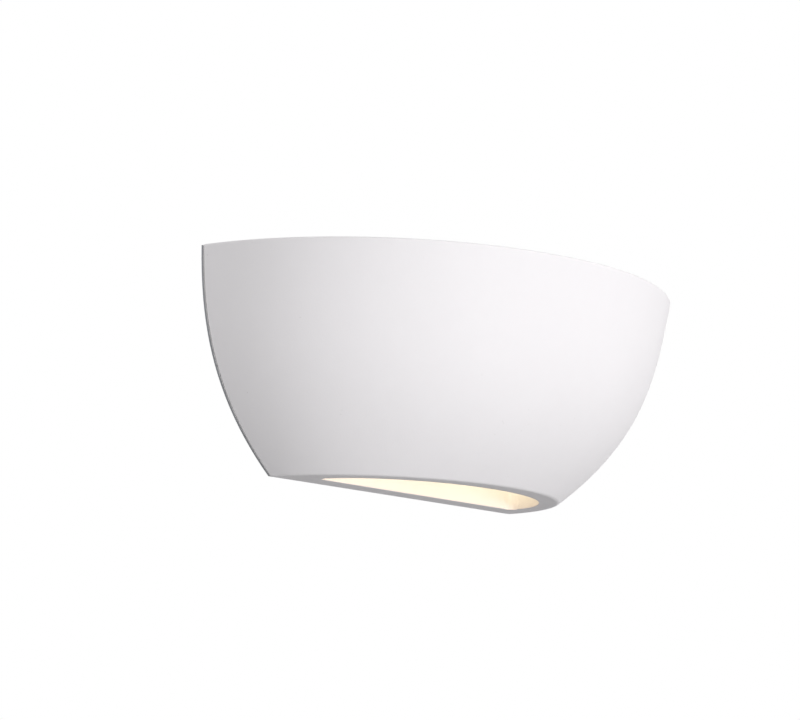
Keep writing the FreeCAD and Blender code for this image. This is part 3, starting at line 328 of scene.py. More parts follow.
def follow(kind, inputs, **settings):
    """Node in the tree of the first output among its inputs."""
    tree = next(value.id_data for value in inputs.values() if isinstance(value, bpy.types.NodeSocket))
    return add(tree, kind, inputs, **settings)


def maths(operation, *terms, clamp=False):
    """Math node over outputs or plain numbers; gives its output."""
    return follow("ShaderNodeMath", dict(enumerate(terms)), operation=operation, use_clamp=clamp).outputs[0]


def noise(vector, scale, detail=2.0, roughness=0.5):
    """Noise value at a vector."""
    return follow("ShaderNodeTexNoise", {"Vector": vector, "Scale": scale, "Detail": detail,
                                         "Roughness": roughness}).outputs["Fac"]


def axis(vector, letter):
    """One coordinate of a vector."""
    return follow("ShaderNodeSeparateXYZ", {"Vector": vector}).outputs[letter]


def blend(share, first, second):
    """Colour that runs from the first to the second as the share runs from 0 to 1."""
    return follow("ShaderNodeMix", {0: share, 6: first, 7: second}, data_type="RGBA").outputs[2]


def scaled(vector, factor):
    """Vector or colour times a number."""
    return follow("ShaderNodeVectorMath", {0: vector, "Scale": factor}, operation="SCALE").outputs[0]


def mixed_shader(share, first, second):
    """Shader that runs from the first to the second as the share runs from 0 to 1."""
    return follow("ShaderNodeMixShader", {0: share, 1: first, 2: second}).outputs[0]


def rgba(value):
    """Opaque colour from its three parts."""
    return (value[0], value[1], value[2], 1.0)


# ---- shared surface effects

WHITE = (1.0, 1.0, 1.0, 1.0)


def effect(name, inputs, *outputs):
    """New shader node group with a Vector and these inputs: gives them by label, and its output node.

    Each input's kind follows its default: a number, three parts of a vector or four of a colour.
    """
    kinds = {1: "NodeSocketFloat", 3: "NodeSocketVector", 4: "NodeSocketColor"}
    tree = bpy.data.node_groups.new(name, "ShaderNodeTree")
    for label, value in {"Vector": (0.0, 0.0, 0.0), **inputs}.items():
        kind = kinds[len(value) if isinstance(value, tuple) else 1]
        tree.interface.new_socket(label, in_out="INPUT", socket_type=kind).default_value = value
    for label in outputs:
        tree.interface.new_socket(label, in_out="OUTPUT", socket_type=kinds[4 if label == "Colour" else 1])
    return add(tree, "NodeGroupInput").outputs, add(tree, "NodeGroupOutput")


def tone_drift():
    """Colour that drifts lighter and darker over broad patches, with a little fine variation."""
    given, out = effect("tone drift", {"Colour": WHITE, "Scale": 20.0, "Amount": 0.03}, "Colour", "Mask")
    broad = noise(given["Vector"], given["Scale"], 3.0)
    fine = noise(given["Vector"], maths("MULTIPLY", given["Scale"], 9.0))
    mixed = maths("ADD", maths("MULTIPLY", broad, 0.7), maths("MULTIPLY", fine, 0.3))
    swing = maths("MULTIPLY", maths("SUBTRACT", mixed, 0.5), maths("MULTIPLY", given["Amount"], 4.0))
    feed(out, {"Colour": scaled(given["Colour"], maths("ADD", 1.0, swing)), "Mask": mixed})


def cast_grain():
    """Height of cast plaster: soft waves, fine grain, and scattered pinholes where cells are closest."""
    given, out = effect("cast grain", {"Grain": 1100.0, "Waves": 0.6, "Pinholes": 0.6}, "Height", "Pits")
    grain = noise(given["Vector"], given["Grain"], 3.0, 0.6)
    waves = noise(given["Vector"], 42.0, 2.0, 0.4)
    cells = follow("ShaderNodeTexVoronoi", {"Vector": given["Vector"], "Scale": 190.0})
    sparse = noise(given["Vector"], 31.0, 1.0)
    hole = maths("MULTIPLY", maths("LESS_THAN", cells.outputs["Distance"], 0.07),
                 maths("GREATER_THAN", sparse, 0.60))
    height = maths("ADD", grain, maths("MULTIPLY", waves, given["Waves"]))
    deep = maths("MULTIPLY", hole, given["Pinholes"])
    feed(out, {"Height": maths("SUBTRACT", height, deep), "Pits": hole})


def peel_and_scuff():
    """Orange-peel height of a sprayed coat, and a mask of faint scratches and rubbed patches."""
    given, out = effect("peel and scuff", {"Peel": 700.0}, "Height", "Scuff")
    peel = noise(given["Vector"], given["Peel"], 1.5, 0.4)
    stretched = follow("ShaderNodeMapping", {"Vector": given["Vector"], "Rotation": (0.2, 0.5, 0.4),
                                             "Scale": (1.0, 1.0, 26.0)})
    lines = noise(stretched.outputs[0], 34.0, 2.0, 0.7)
    rubbed = noise(given["Vector"], 24.0, 3.0, 0.6)
    scratch = maths("GREATER_THAN", lines, 0.68)
    patch = maths("MULTIPLY", maths("SUBTRACT", rubbed, 0.55, clamp=True), 5.0, clamp=True)
    feed(out, {"Height": peel, "Scuff": maths("MULTIPLY", scratch, patch)})


def metal_grain():
    """Fine drawn streaks along one axis over cloudy plating; gives a height and a roughness mask."""
    given, out = effect("metal grain", {"Stretch": (1.0, 1.0, 1.0), "Scale": 900.0, "Clouds": 120.0},
                        "Height", "Mask")
    pulled = follow("ShaderNodeVectorMath", {0: given["Vector"], 1: given["Stretch"]}, operation="MULTIPLY")
    streaks = noise(pulled.outputs[0], given["Scale"], 3.0, 0.6)
    clouds = noise(given["Vector"], given["Clouds"], 3.0, 0.55)
    both = maths("ADD", maths("MULTIPLY", streaks, 0.5), maths("MULTIPLY", clouds, 0.5))
    feed(out, {"Height": streaks, "Mask": both})


def braid():
    """Woven sleeve: two sets of yarns cross on a slant, and each rises where the other dips."""
    given, out = effect("braid", {"Yarns": 8.0}, "Height", "Gaps")
    along = maths("MULTIPLY", axis(given["Vector"], "X"), given["Yarns"])
    around = maths("MULTIPLY", axis(given["Vector"], "Y"), given["Yarns"])
    checker = maths("MULTIPLY", maths("SINE", maths("MULTIPLY", along, math.pi)), 0.35)
    yarns = []
    for operation in ("ADD", "SUBTRACT"):
        slant = maths("MULTIPLY", maths(operation, along, around), math.pi)
        wave = maths("ABSOLUTE", maths("SINE", slant))
        yarns.append(maths(operation, wave, checker))
    height = maths("MAXIMUM", *yarns)
    feed(out, {"Height": height, "Gaps": maths("SUBTRACT", 1.0, height, clamp=True)})


def lamp_falloff():
    """Share of the painted lamp light: r^2 / (r^2 + d^2), with the reach r and the distance d from the tube.
    """
    lamp = bpy.context.scene.sconce_lamp
    given, out = effect("lamp falloff", {"Reach": 0.06}, "Share")
    aside = maths("ABSOLUTE", axis(given["Vector"], "X"))
    beyond = maths("MAXIMUM", maths("SUBTRACT", aside, lamp.glow_half_length), 0.0)
    out_of_wall = maths("ADD", axis(given["Vector"], "Y"), lamp.reach)
    up = maths("SUBTRACT", axis(given["Vector"], "Z"), lamp.rise)
    squares = [maths("MULTIPLY", term, term) for term in (beyond, out_of_wall, up, given["Reach"])]
    square = maths("ADD", maths("ADD", squares[0], squares[1]), squares[2])
    feed(out, {"Share": maths("DIVIDE", squares[3], maths("ADD", square, squares[3]))})


EFFECTS = {"tone drift": tone_drift, "cast grain": cast_grain, "peel and scuff": peel_and_scuff,
           "metal grain": metal_grain, "braid": braid, "lamp falloff": lamp_falloff}


def group(kind, vector, **values):
    """Places a shared effect and gives its outputs; it is built the first time that it is asked for."""
    if kind not in bpy.data.node_groups:
        EFFECTS[kind]()
    return follow("ShaderNodeGroup", {"Vector": vector, **values},
                  node_tree=bpy.data.node_groups[kind]).outputs


# ---- materials

def blank(name):
    """New material with one Principled shader: gives the material, the shader and the place."""
    material = bpy.data.materials.new(name)
    material.use_nodes = True
    tree = material.node_tree
    place = add(tree, "ShaderNodeTexCoord").outputs["Object"]
    return material, tree.nodes["Principled BSDF"], place


def surface(shader, inputs, height, depth):
    """Fills the shader's inputs and gives it a bump of this depth in metres."""
    bump = follow("ShaderNodeBump", {"Height": height, "Distance": depth, "Strength": 1.0})
    feed(shader, {**inputs, "Normal": bump.outputs["Normal"]})


def spread(mask, low, high):
    """Roughness that runs from low to high as a mask runs from 0.3 to 0.7."""
    return follow("ShaderNodeMapRange", {"Value": mask, "From Min": 0.3, "From Max": 0.7, "To Min": low,
                                         "To Max": high}).outputs["Result"]


def plaster(name, painted_glow=False):
    """Matt cast plaster; the one with painted glow also carries painted lamp light, a warm emission near the
    tube that stands in for the lamp's light on the plaster.
    """
    finish = bpy.context.scene.sconce_finish
    lamp = bpy.context.scene.sconce_lamp
    material, shader, place = blank(name)
    grain = group("cast grain", place)
    tone = group("tone drift", place, Colour=rgba(finish.plaster), Scale=14.0, Amount=0.012)
    # Painted shade: the pinholes get the darker pit colour.
    surface(shader, {"Base Color": blend(grain["Pits"], tone["Colour"], rgba(finish.pit_shade)),
                     "Roughness": spread(tone["Mask"], 0.80, 0.92),
                     "Specular IOR Level": 0.25}, grain["Height"], finish.grain)
    # Painted lamp light: a warm emission on the plaster, strongest near the tube.
    if painted_glow:
        share = group("lamp falloff", place, Reach=lamp.glow_reach)["Share"]
        feed(shader, {"Emission Color": scaled(painted_glow_by_height(place, lamp), share),
                      "Emission Strength": lamp.glow})
    return material


def painted_glow_by_height(place, lamp):
    """Colour of the painted lamp glow: peach at the slot's foot, yellow at the floor's top and cream above
    it.
    """
    bowl = bpy.context.scene.sconce_bowl
    foot = -bowl.fixing_height
    rise = follow("ShaderNodeMapRange", {"Value": axis(place, "Z"), "From Min": foot,
                                         "From Max": foot + 2 * bowl.floor})
    ramp = follow("ShaderNodeValToRGB", {"Fac": rise.outputs["Result"]})
    stops = ramp.color_ramp.elements
    stops[0].color = rgba(lamp.glow_low)
    stops[1].color = rgba(lamp.glow_high)
    stops.new(0.42).color = rgba(lamp.glow_middle)
    return ramp.outputs["Color"]


def powder_coat(name, tint, backing_and_painted_shade=None):
    """Sprayed coat; a sheet with a backing shows that colour on its cut edge and its rear: partly a grey
    backing coat, partly painted shade for the dark line at the plate's edge.
    """
    material, shader, place = blank(name)
    coat = group("peel and scuff", place)
    colour_here = rgba(tint)
    # Painted shade, partly a real backing coat: the grey on the rear and cut edge darkens the plate's edge
    # line.
    if backing_and_painted_shade:
        behind = maths("GREATER_THAN", axis(place, "Y"), FRONT_FACE)
        colour_here = blend(behind, rgba(tint), rgba(backing_and_painted_shade))
    tone = group("tone drift", place, Colour=colour_here, Scale=16.0, Amount=0.02)
    surface(shader, {"Base Color": blend(coat["Scuff"], tone["Colour"], (0.55, 0.55, 0.55, 1.0)),
                     "Roughness": spread(coat["Height"], 0.38, 0.56)}, coat["Height"], 0.00005)
    return material


def metal(name, tint, stretch, low, high):
    """Bare or plated metal with drawn or turned streaks and cloudy plating."""
    material, shader, place = blank(name)
    grain = group("metal grain", place, Stretch=stretch)
    tone = group("tone drift", place, Colour=rgba(tint), Scale=90.0, Amount=0.05)
    surface(shader, {"Base Color": tone["Colour"], "Metallic": 1.0,
                     "Roughness": spread(grain["Mask"], low, high)}, grain["Height"], 0.00001)
    return material


def fired_clay(name, tint):
    """Steatite: pale and dense, with a dull sheen, faint specks and pressed grain."""
    material, shader, place = blank(name)
    grain = group("cast grain", place, Grain=1800.0, Waves=0.2, Pinholes=0.3)
    tone = group("tone drift", place, Colour=rgba(tint), Scale=70.0, Amount=0.03)
    cells = follow("ShaderNodeTexVoronoi", {"Vector": place, "Scale": 420.0})
    speck = maths("MULTIPLY", maths("LESS_THAN", cells.outputs["Distance"], 0.10), 0.5)
    surface(shader, {"Base Color": blend(speck, tone["Colour"], (0.52, 0.47, 0.40, 1.0)),
                     "Roughness": spread(tone["Mask"], 0.34, 0.52)}, grain["Height"], 0.00003)
    return material


def soft_rubber(name, tint):
    """Moulded rubber with a fine dull grain."""
    material, shader, place = blank(name)
    grain = group("cast grain", place, Grain=2200.0, Waves=0.3, Pinholes=0.0)
    tone = group("tone drift", place, Colour=rgba(tint), Scale=120.0, Amount=0.08)
    surface(shader, {"Base Color": tone["Colour"], "Roughness": spread(tone["Mask"], 0.62, 0.80)},
            grain["Height"], 0.00003)
    return material


def woven_sleeve(name, tint):
    """Braided glass sleeve that follows the lead's own UV map."""
    material, shader, place = blank(name)
    wound = add(material.node_tree, "ShaderNodeUVMap", uv_map="UVMap").outputs["UV"]
    weave = group("braid", wound, Yarns=8.0)
    tone = group("tone drift", place, Colour=rgba(tint), Scale=160.0, Amount=0.05)
    # Painted shade: the gaps between the yarns are darkened to about a third of the sleeve's tint.
    painted_gap_shade = rgba([part * 0.35 for part in tint])
    surface(shader, {"Base Color": blend(weave["Gaps"], tone["Colour"], painted_gap_shade),
                     "Roughness": spread(tone["Mask"], 0.70, 0.86),
                     "Sheen Weight": 0.2}, weave["Height"], 0.00018)
    return material


def clear_quartz(name, tint, fog_start):
    """Clear tube, very slightly rippled and fogged near its pinched ends."""
    material, shader, place = blank(name)
    past = maths("SUBTRACT", maths("ABSOLUTE", axis(place, "X")), fog_start)
    fog = maths("MULTIPLY", past, 40.0, clamp=True)
    surface(shader, {"Base Color": rgba(tint), "Transmission Weight": 1.0, "IOR": 1.458,
                     "Roughness": maths("ADD", 0.02, maths("MULTIPLY", fog, 0.15))},
            noise(place, 260.0, 1.0), 0.00004)
    return material


def hot_wire(name, lamp):
    """Glowing tungsten: a little brighter in the middle of the coil than at its tails."""
    material, shader, place = blank(name)
    aside = maths("ABSOLUTE", axis(place, "X"))
    fade = maths("SUBTRACT", 1.0, maths("MULTIPLY", aside, 9.0))
    tone = group("tone drift", place, Colour=(0.5, 0.45, 0.38, 1.0), Scale=300.0, Amount=0.1)
    feed(shader, {"Base Color": tone["Colour"], "Roughness": 0.45, "Metallic": 1.0,
                  "Emission Color": scaled(tuple(lamp.light), fade), "Emission Strength": lamp.wire_glow})
    return material


def soft_edges():
    """Geometry group that joins a CAD mesh's loose triangles and keeps only its sharp edges sharp."""
    tree = bpy.data.node_groups.new("soft edges", "GeometryNodeTree")
    for way in ("INPUT", "OUTPUT"):
        tree.interface.new_socket("Geometry", in_out=way, socket_type="NodeSocketGeometry")
    given = add(tree, "NodeGroupInput").outputs[0]
    out = add(tree, "NodeGroupOutput")
    joined = follow("GeometryNodeMergeByDistance", {"Geometry": given, "Distance": DOUBLES}).outputs[0]
    smooth = follow("GeometryNodeSetShadeSmooth", {"Geometry": joined, "Shade Smooth": True}, domain="FACE")
    bend = add(tree, "GeometryNodeInputMeshEdgeAngle").outputs[0]
    sharp = follow("FunctionNodeCompare", {0: bend, 1: CAD_CREASE}, data_type="FLOAT",
                   operation="GREATER_THAN").outputs[0]
    creased = follow("GeometryNodeSetShadeSmooth", {"Geometry": smooth.outputs[0], "Selection": sharp,
                                                    "Shade Smooth": False}, domain="EDGE")
    feed(out, {0: creased.outputs[0]})
    return tree


def dress(material, *names):
    """Gives CAD nodes their finish, and smooth shading between their sharp edges."""
    tree = bpy.data.node_groups.get("soft edges") or soft_edges()
    for name in names:
        node = NODES[name]
        node.data.materials.clear()
        node.data.materials.append(material)
        node.modifiers.new("soft edges", "NODES").node_group = tree


# ---- operators

# each light's name, side and place, in metres
STUDIO_LIGHTS = (("front", 1.4, (0.25, -3.0, -0.35)), ("top", 1.6, (0.3, -0.5, 2.2)),
                 ("side", 1.4, (-1.8, -1.7, -0.35)), ("rear", 1.2, (-0.9, 2.6, 0.3)))
CAMERA_TARGET = Vector((0.0, -0.036, 0.0))


class SCONCE_OT_stage(Operator):
    """Make the pale floor, the soft light and the camera"""
    bl_idname = "sconce.stage"
    bl_label = "Stage"

    def execute(self, context):
        stage = context.scene.sconce_stage
        self.floor(stage)
        self.world(context.scene, stage)
        for name, size, place in STUDIO_LIGHTS:
            self.lamp(name + "_light", getattr(stage, name + "_power"), size, Vector(place))
        self.camera(context.scene, stage)
        context.scene.view_settings.view_transform = "Standard"
        return {"FINISHED"}

    def floor(self, stage):
        """Disc: ring k of n has the radius R (k / n)^2, and each is a circle of evenly spaced points."""
        sides = stage.floor_sides
        turn = np.arange(sides) * (2 * math.pi / sides)
        radius = stage.floor_radius * np.linspace(0.0, 1.0, stage.floor_rings + 1)[1:] ** 2
        x = radius[:, None] * np.cos(turn)
        y = radius[:, None] * np.sin(turn)
        points = np.stack([x, y, np.full_like(x, -stage.floor_drop)], -1).reshape(-1, 3)
        faces = grid_faces(len(radius), sides, 0, True)[:, ::-1].tolist() + [list(range(sides))]
        piece = new_piece("floor", points, faces)
        piece.data.materials.append(self.pale_floor(stage))

    def pale_floor(self, stage):
        """Pale under the object, where its shadow falls; white further off; clear from below."""
        material, shader, place = blank("Pale floor")
        tree = material.node_tree
        tone = group("tone drift", place, Colour=rgba([stage.floor_bounce] * 3), Scale=0.8, Amount=0.01)
        feed(shader, {"Base Color": tone["Colour"], "Roughness": 0.9, "Specular IOR Level": 0.0})
        pale = add(tree, "ShaderNodeBsdfDiffuse", {"Color": rgba([stage.floor_pale] * 3)}).outputs[0]
        lift = add(tree, "ShaderNodeEmission", {"Color": WHITE, "Strength": stage.floor_lift}).outputs[0]
        white = add(tree, "ShaderNodeEmission", {"Color": WHITE, "Strength": 1.0}).outputs[0]
        away = follow("ShaderNodeVectorMath", {0: place}, operation="LENGTH").outputs["Value"]
        far = follow("ShaderNodeMapRange", {"Value": away, "From Min": stage.fade_start,
                                            "From Max": stage.fade_end}).outputs["Result"]
        seen = mixed_shader(far, follow("ShaderNodeAddShader", {0: pale, 1: lift}).outputs[0], white)
        path = add(tree, "ShaderNodeLightPath").outputs
        mixed = mixed_shader(path["Is Camera Ray"], shader.outputs[0], seen)
        below = add(tree, "ShaderNodeNewGeometry").outputs["Backfacing"]
        one_way = mixed_shader(below, mixed, add(tree, "ShaderNodeBsdfTransparent").outputs[0])
        feed(tree.nodes["Material Output"], {"Surface": one_way})
        return material

    def world(self, scene, stage):
        """White to the eye; as light, brighter from above and from the left than from below."""
        world = bpy.data.worlds.new("Soft room")
        scene.world = world
        world.use_nodes = True
        tree = world.node_tree
        tree.nodes.clear()
        way = add(tree, "ShaderNodeTexCoord").outputs["Generated"]
        rise = maths("MULTIPLY", axis(way, "Z"), stage.from_above)
        side = maths("MULTIPLY", axis(way, "X"), -stage.from_left)
        level = maths("ADD", maths("ADD", rise, side), stage.ambient)
        room = follow("ShaderNodeBackground", {"Strength": level}).outputs[0]
        white = add(tree, "ShaderNodeBackground", {"Color": WHITE, "Strength": 1.0}).outputs[0]
        path = add(tree, "ShaderNodeLightPath").outputs
        seen = maths("MAXIMUM", path["Is Camera Ray"], path["Is Glossy Ray"])
        seen = maths("MAXIMUM", seen, path["Is Transmission Ray"])
        follow("ShaderNodeOutputWorld", {"Surface": mixed_shader(seen, room, white)})

    def lamp(self, name, power, size, place):
        """Square soft light that faces the sconce."""
        light = bpy.data.lights.new(name, "AREA")
        light.energy = power
        light.size = size
        holder = bpy.data.objects.new(name, light)
        holder.location = place
        holder.rotation_mode = "QUATERNION"
        holder.rotation_quaternion = (-place).to_track_quat("-Z", "Y")
        holder.visible_camera = False
        holder.visible_glossy = False
        bpy.context.scene.collection.objects.link(holder)

    def camera(self, scene, stage):
        """Camera on the photograph's line of sight, level, with its shift for the framing."""
        level = math.cos(stage.drop)
        back = Vector((-math.sin(stage.azimuth) * level, -math.cos(stage.azimuth) * level,
                       -math.sin(stage.drop)))
        data = bpy.data.cameras.new("camera")
        data.lens = stage.lens
        data.sensor_width = 36.0
        data.shift_x = stage.shift_x
        data.shift_y = stage.shift_y
        data.clip_start = 0.05
        data.clip_end = 50.0
        camera = bpy.data.objects.new("camera", data)
        camera.location = CAMERA_TARGET + back * stage.camera_distance
        camera.rotation_mode = "QUATERNION"
        camera.rotation_quaternion = (-back).to_track_quat("-Z", "Y")
        scene.collection.objects.link(camera)
        scene.camera = camera


class SCONCE_OT_bowl(Operator):
    """Make the plaster half bowl with its light slot and its two inner bosses"""
    bl_idname = "sconce.bowl"
    bl_label = "Plaster bowl"

    def execute(self, context):
        sizes = context.scene.sconce_bowl
        outer_plaster = plaster("Cast plaster")
        # The second plaster carries painted lamp light: an emission inside the bowl and round the slot.
        painted_glow_plaster = plaster("Cast plaster, lamp-lit", painted_glow=True)
        shell = self.shell(sizes)
        bosses = self.bosses(sizes)
        for piece in (shell, bosses):
            piece.data.materials.append(outer_plaster)
            piece.data.materials.append(painted_glow_plaster)
            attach(piece, "bowl")
        self.mark_painted_glow_faces(shell.data, sizes)
        painted_glow = np.ones(len(bosses.data.polygons), dtype=np.int32)
        bosses.data.polygons.foreach_set("material_index", painted_glow)
        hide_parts("bowl")
        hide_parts("bowl")
        return {"FINISHED"}

    def axes(self, sizes, height, inset=0.0):
        """Half width and depth of the level ellipse at each height, both drawn in by an inset."""
        rise = (height + sizes.fixing_height) / sizes.height
        half_widths = (sizes.bottom_half_width, sizes.lower_half_width, sizes.top_half_width,
                       sizes.top_half_width)
        depths = (sizes.bottom_depth, sizes.lower_depth, sizes.upper_depth, sizes.top_depth)
        return cubic(half_widths, rise) - inset, cubic(depths, rise) - inset

    def skin(self, sizes, heights, inset):
        """Rows of half ellipses: x = a cos t, y = -b sin t, cut off by the plane of the rear face."""
        a, b = self.axes(sizes, heights, inset)
        start = np.arcsin(sizes.rear_gap / b)
        share = np.linspace(0.0, 1.0, sizes.cells_round + 1)
        turn = start[:, None] + (math.pi - 2 * start[:, None]) * share
        x = a[:, None] * np.cos(turn)
        y = -b[:, None] * np.sin(turn)
        y[:, (0, -1)] = -sizes.rear_gap
        return np.stack([x, y, np.broadcast_to(heights[:, None], x.shape)], -1)

    def rear_line(self, left, right, cells):
        """Evenly spaced points from the left end to the right, both ends left out."""
        share = np.linspace(0.0, 1.0, cells + 1)[1:-1, None]
        return left * (1.0 - share) + right * share

    def slot_loop(self, sizes):
        """Slot outline: a half ellipse, its left corner's round, the straight rear and the right corner's."""
        a, b, back, corner = sizes.slot_half_width, sizes.slot_depth, sizes.slot_back, sizes.slot_corner
        samples = 4001   # the corner round's start is read off a fine table of the ellipse's end
        turn = np.linspace(0.0, 0.5, samples)
        x, y = a * np.cos(turn), -b * np.sin(turn)
        inward = np.stack([-np.cos(turn) / a, np.sin(turn) / b], -1)
        inward /= np.linalg.norm(inward, axis=1)[:, None]
        centre_y = y + corner * inward[:, 1]
        first = np.interp(corner, -centre_y, turn)
        centre_x = np.interp(first, turn, x + corner * inward[:, 0])
        share = np.linspace(0.0, 1.0, sizes.cells_round + 1)
        arc = first + (math.pi - 2 * first) * share
        front = np.stack([a * np.cos(arc), -back - b * np.sin(arc)], -1)
        bend = sizes.cells_corner
        meeting = math.atan2(front[0, 1] + back + corner, front[0, 0] - centre_x)
        left_turn = np.linspace(math.pi - meeting, math.pi / 2, bend + 1)[1:]
        left = np.stack([-centre_x + corner * np.cos(left_turn),
                         -back - corner + corner * np.sin(left_turn)], -1)
        right = left[::-1] * (-1.0, 1.0)
        middle = self.rear_line(left[-1], right[0], sizes.cells_rear - 2 * bend)
        return np.concatenate([front, left, middle, right])

    def shell(self, sizes):
        """Wall, floor and slot as closed rings of quads, with one flat face at the rear."""
        foot, top = -sizes.fixing_height, sizes.height - sizes.fixing_height
        floor_top = foot + sizes.floor
        low = np.linspace(foot, floor_top, sizes.cells_floor + 1)
        high = np.linspace(floor_top, top, sizes.cells_up + 1)
        outer = self.skin(sizes, np.concatenate([low, high[1:]]), 0.0)
        inner = self.skin(sizes, high, sizes.wall)
        slot = self.slot_loop(sizes)
        points, faces = [], []

        def put(rows, wrap):
            start = sum(len(part) for part in points)
            faces.extend(grid_faces(rows.shape[0], rows.shape[1], start, wrap).tolist())
            points.append(rows.reshape(-1, 3))
            return start

        outer_start = put(outer, False)
        inner_start = put(inner, False)
        put(np.stack([outer[-1], inner[-1]]), False)
        rings = {}
        for label, edge, height in (("foot", outer[0], foot), ("floor", inner[0], floor_top)):
            rear = self.rear_line(edge[-1], edge[0], sizes.cells_rear)
            border = np.concatenate([edge, rear])
            hole = np.column_stack([slot, np.full(len(slot), height)])
            share = np.linspace(0.0, 1.0, sizes.cells_floor + 1)[:, None, None]
            rings[label] = put(border[None] * (1.0 - share) + hole[None] * share, True)
        put(np.stack([np.column_stack([slot, np.full(len(slot), z)]) for z in low]), True)
        columns = outer.shape[1]
        outer_rows = np.arange(outer.shape[0]) * columns + outer_start
        inner_rows = np.arange(inner.shape[0]) * columns + inner_start
        rear_cells = np.arange(sizes.cells_rear - 1)
        rear = np.concatenate([outer_rows[::-1], (rings["foot"] + columns + rear_cells)[::-1],
                               outer_rows + columns - 1, (inner_rows + columns - 1)[::-1],
                               rings["floor"] + columns + rear_cells, inner_rows])
        faces.append(rear.tolist())
        piece = new_piece("bowl_shell", np.concatenate(points), faces, merge=DOUBLES)
        self.round_edges(piece, sizes)
        return piece

    def round_edges(self, piece, sizes):
        """Bevel weights on the rim, foot, rear and slot edges, and a bevel that follows them."""
        mesh = piece.data
        mesh.set_sharp_from_angle(angle=CREASE)
        at = read(mesh.vertices, "co", 3)
        foot, top = -sizes.fixing_height, sizes.height - sizes.fixing_height
        on_skin = []
        for inset in (0.0, sizes.wall):
            a, b = self.axes(sizes, at[:, 2], inset)
            on_skin.append(np.abs(np.hypot(at[:, 0] / a, at[:, 1] / b) - 1.0) * b < NEAR)
        on_top = np.abs(at[:, 2] - top) < NEAR
        on_foot = np.abs(at[:, 2] - foot) < NEAR
        on_rear = np.abs(at[:, 1] + sizes.rear_gap) < NEAR
        from_loop = np.abs(at[:, None, :2] - self.slot_loop(sizes)[None, ::3]).max(-1).min(1)
        behind = at[:, 1] + sizes.slot_back
        from_front = np.abs(np.hypot(at[:, 0] / sizes.slot_half_width, behind / sizes.slot_depth) - 1.0)
        curve_share, corner_reach = 0.002, 0.0006
        on_slot = (on_foot & (behind < NEAR)
                   & ((from_front < curve_share) | (np.abs(behind) < NEAR) | (from_loop < corner_reach)))
        ends = read(mesh.edges, "vertices", 2, int)

        def both(flags):
            return flags[ends[:, 0]] & flags[ends[:, 1]]

        outer, inner = on_skin
        full = (both(outer & on_top) | both(inner & on_top) | both(outer & on_foot) | both(outer & on_rear)
                | both(on_rear & on_foot))
        slot = both(on_slot) & ~full
        weight = np.where(full, 1.0, np.where(slot, sizes.slot_round / sizes.edge_round, 0.0))
        bevel_edges(piece, weight, sizes.edge_round, segments=4)

    def mark_painted_glow_faces(self, mesh, sizes):
        """Gives the plaster with painted lamp glow to the faces inside the bowl and round the slot."""
        centre = read(mesh.polygons, "center", 3)
        way = read(mesh.polygons, "normal", 3)
        a, b = self.axes(sizes, centre[:, 2], sizes.wall * 0.5)
        within = np.hypot(centre[:, 0] / a, centre[:, 1] / b) < 1.0
        squarely = 0.9
        facing_down = way[:, 2] < -squarely
        facing_wall = (way[:, 1] > squarely) & (centre[:, 1] > -2 * sizes.rear_gap)
        on_rim = centre[:, 2] > sizes.height - sizes.fixing_height - NEAR
        painted_glow = within & ~facing_down & ~facing_wall & ~on_rim
        mesh.polygons.foreach_set("material_index", painted_glow.astype(np.int32))

    def bosses(self, sizes):
        """Two blocks of eight corners each, whose outer ends lie half way into the bowl's wall."""
        near, far = -sizes.boss_near, -sizes.boss_far
        low, high = sizes.boss_bottom, sizes.boss_top
        corners = []
        for x_side in (0, 1):
            for y in (near, far):
                for z in (low, high):
                    a, b = self.axes(sizes, z, sizes.wall * 0.5)
                    x = a * math.sqrt(1.0 - (y / b) ** 2) if x_side else sizes.boss_inner
                    corners.append((x, y, z))
        right = np.array(corners)
        left = right * (-1.0, 1.0, 1.0)
        faces = [[0, 1, 3, 2], [4, 6, 7, 5], [0, 4, 5, 1], [2, 3, 7, 6], [0, 2, 6, 4], [1, 5, 7, 3]]
        faces = faces + [[index + 8 for index in reversed(face)] for face in faces]
        piece = new_piece("bowl_bosses", np.concatenate([right, left]), faces, merge=DOUBLES)
        mesh = piece.data
        mesh.set_sharp_from_angle(angle=CREASE)
        at = read(mesh.vertices, "co", 3)
        inner = np.abs(np.abs(at[:, 0]) - sizes.boss_inner) < NEAR
        front = np.abs(at[:, 1] - far) < NEAR
        ends = read(mesh.edges, "vertices", 2, int)
        along = inner[ends[:, 0]] & inner[ends[:, 1]] & (front[ends[:, 0]] | front[ends[:, 1]])
        bevel_edges(piece, along.astype(float), sizes.boss_round, segments=5)
        return piece


class SCONCE_OT_mountings(Operator):
    """Finish the back plate, the grommet, the studs, the hangers, the arm and the bracket"""
    bl_idname = "sconce.mountings"
    bl_label = "Mountings"

    def execute(self, context):
        finish = context.scene.sconce_finish
        dress(powder_coat("White coat, grey backing", finish.coat, finish.backing_and_painted_shade), "back_plate")
        dress(powder_coat("White powder coat", finish.coat), "lamp_arm")
        dress(soft_rubber("Grommet rubber", finish.rubber), "cable_grommet")
        zinc = metal("Bright zinc", finish.zinc, (1.0, 1.0, 1.0), 0.24, 0.42)
        dress(zinc, "bowl_studs", "hanger_screws", "bracket_screws", "holder_screws", "terminal_screws",
              "studs_m4", "washers_m4", "nuts_m4", "studs_m3", "nuts_m3")
        dress(metal("Zinc sheet", finish.zinc, (0.06, 1.0, 1.0), 0.28, 0.46), "lamp_bracket")
        dress(metal("Zinc plate, upright", finish.zinc, (1.0, 1.0, 0.06), 0.28, 0.46), "hanger_plates")
        brass = metal("Turned brass", finish.brass, (0.3, 6.0, 0.3), 0.18, 0.34)
        dress(brass, "thumb_nut_right", "thumb_nut_left")
        return {"FINISHED"}


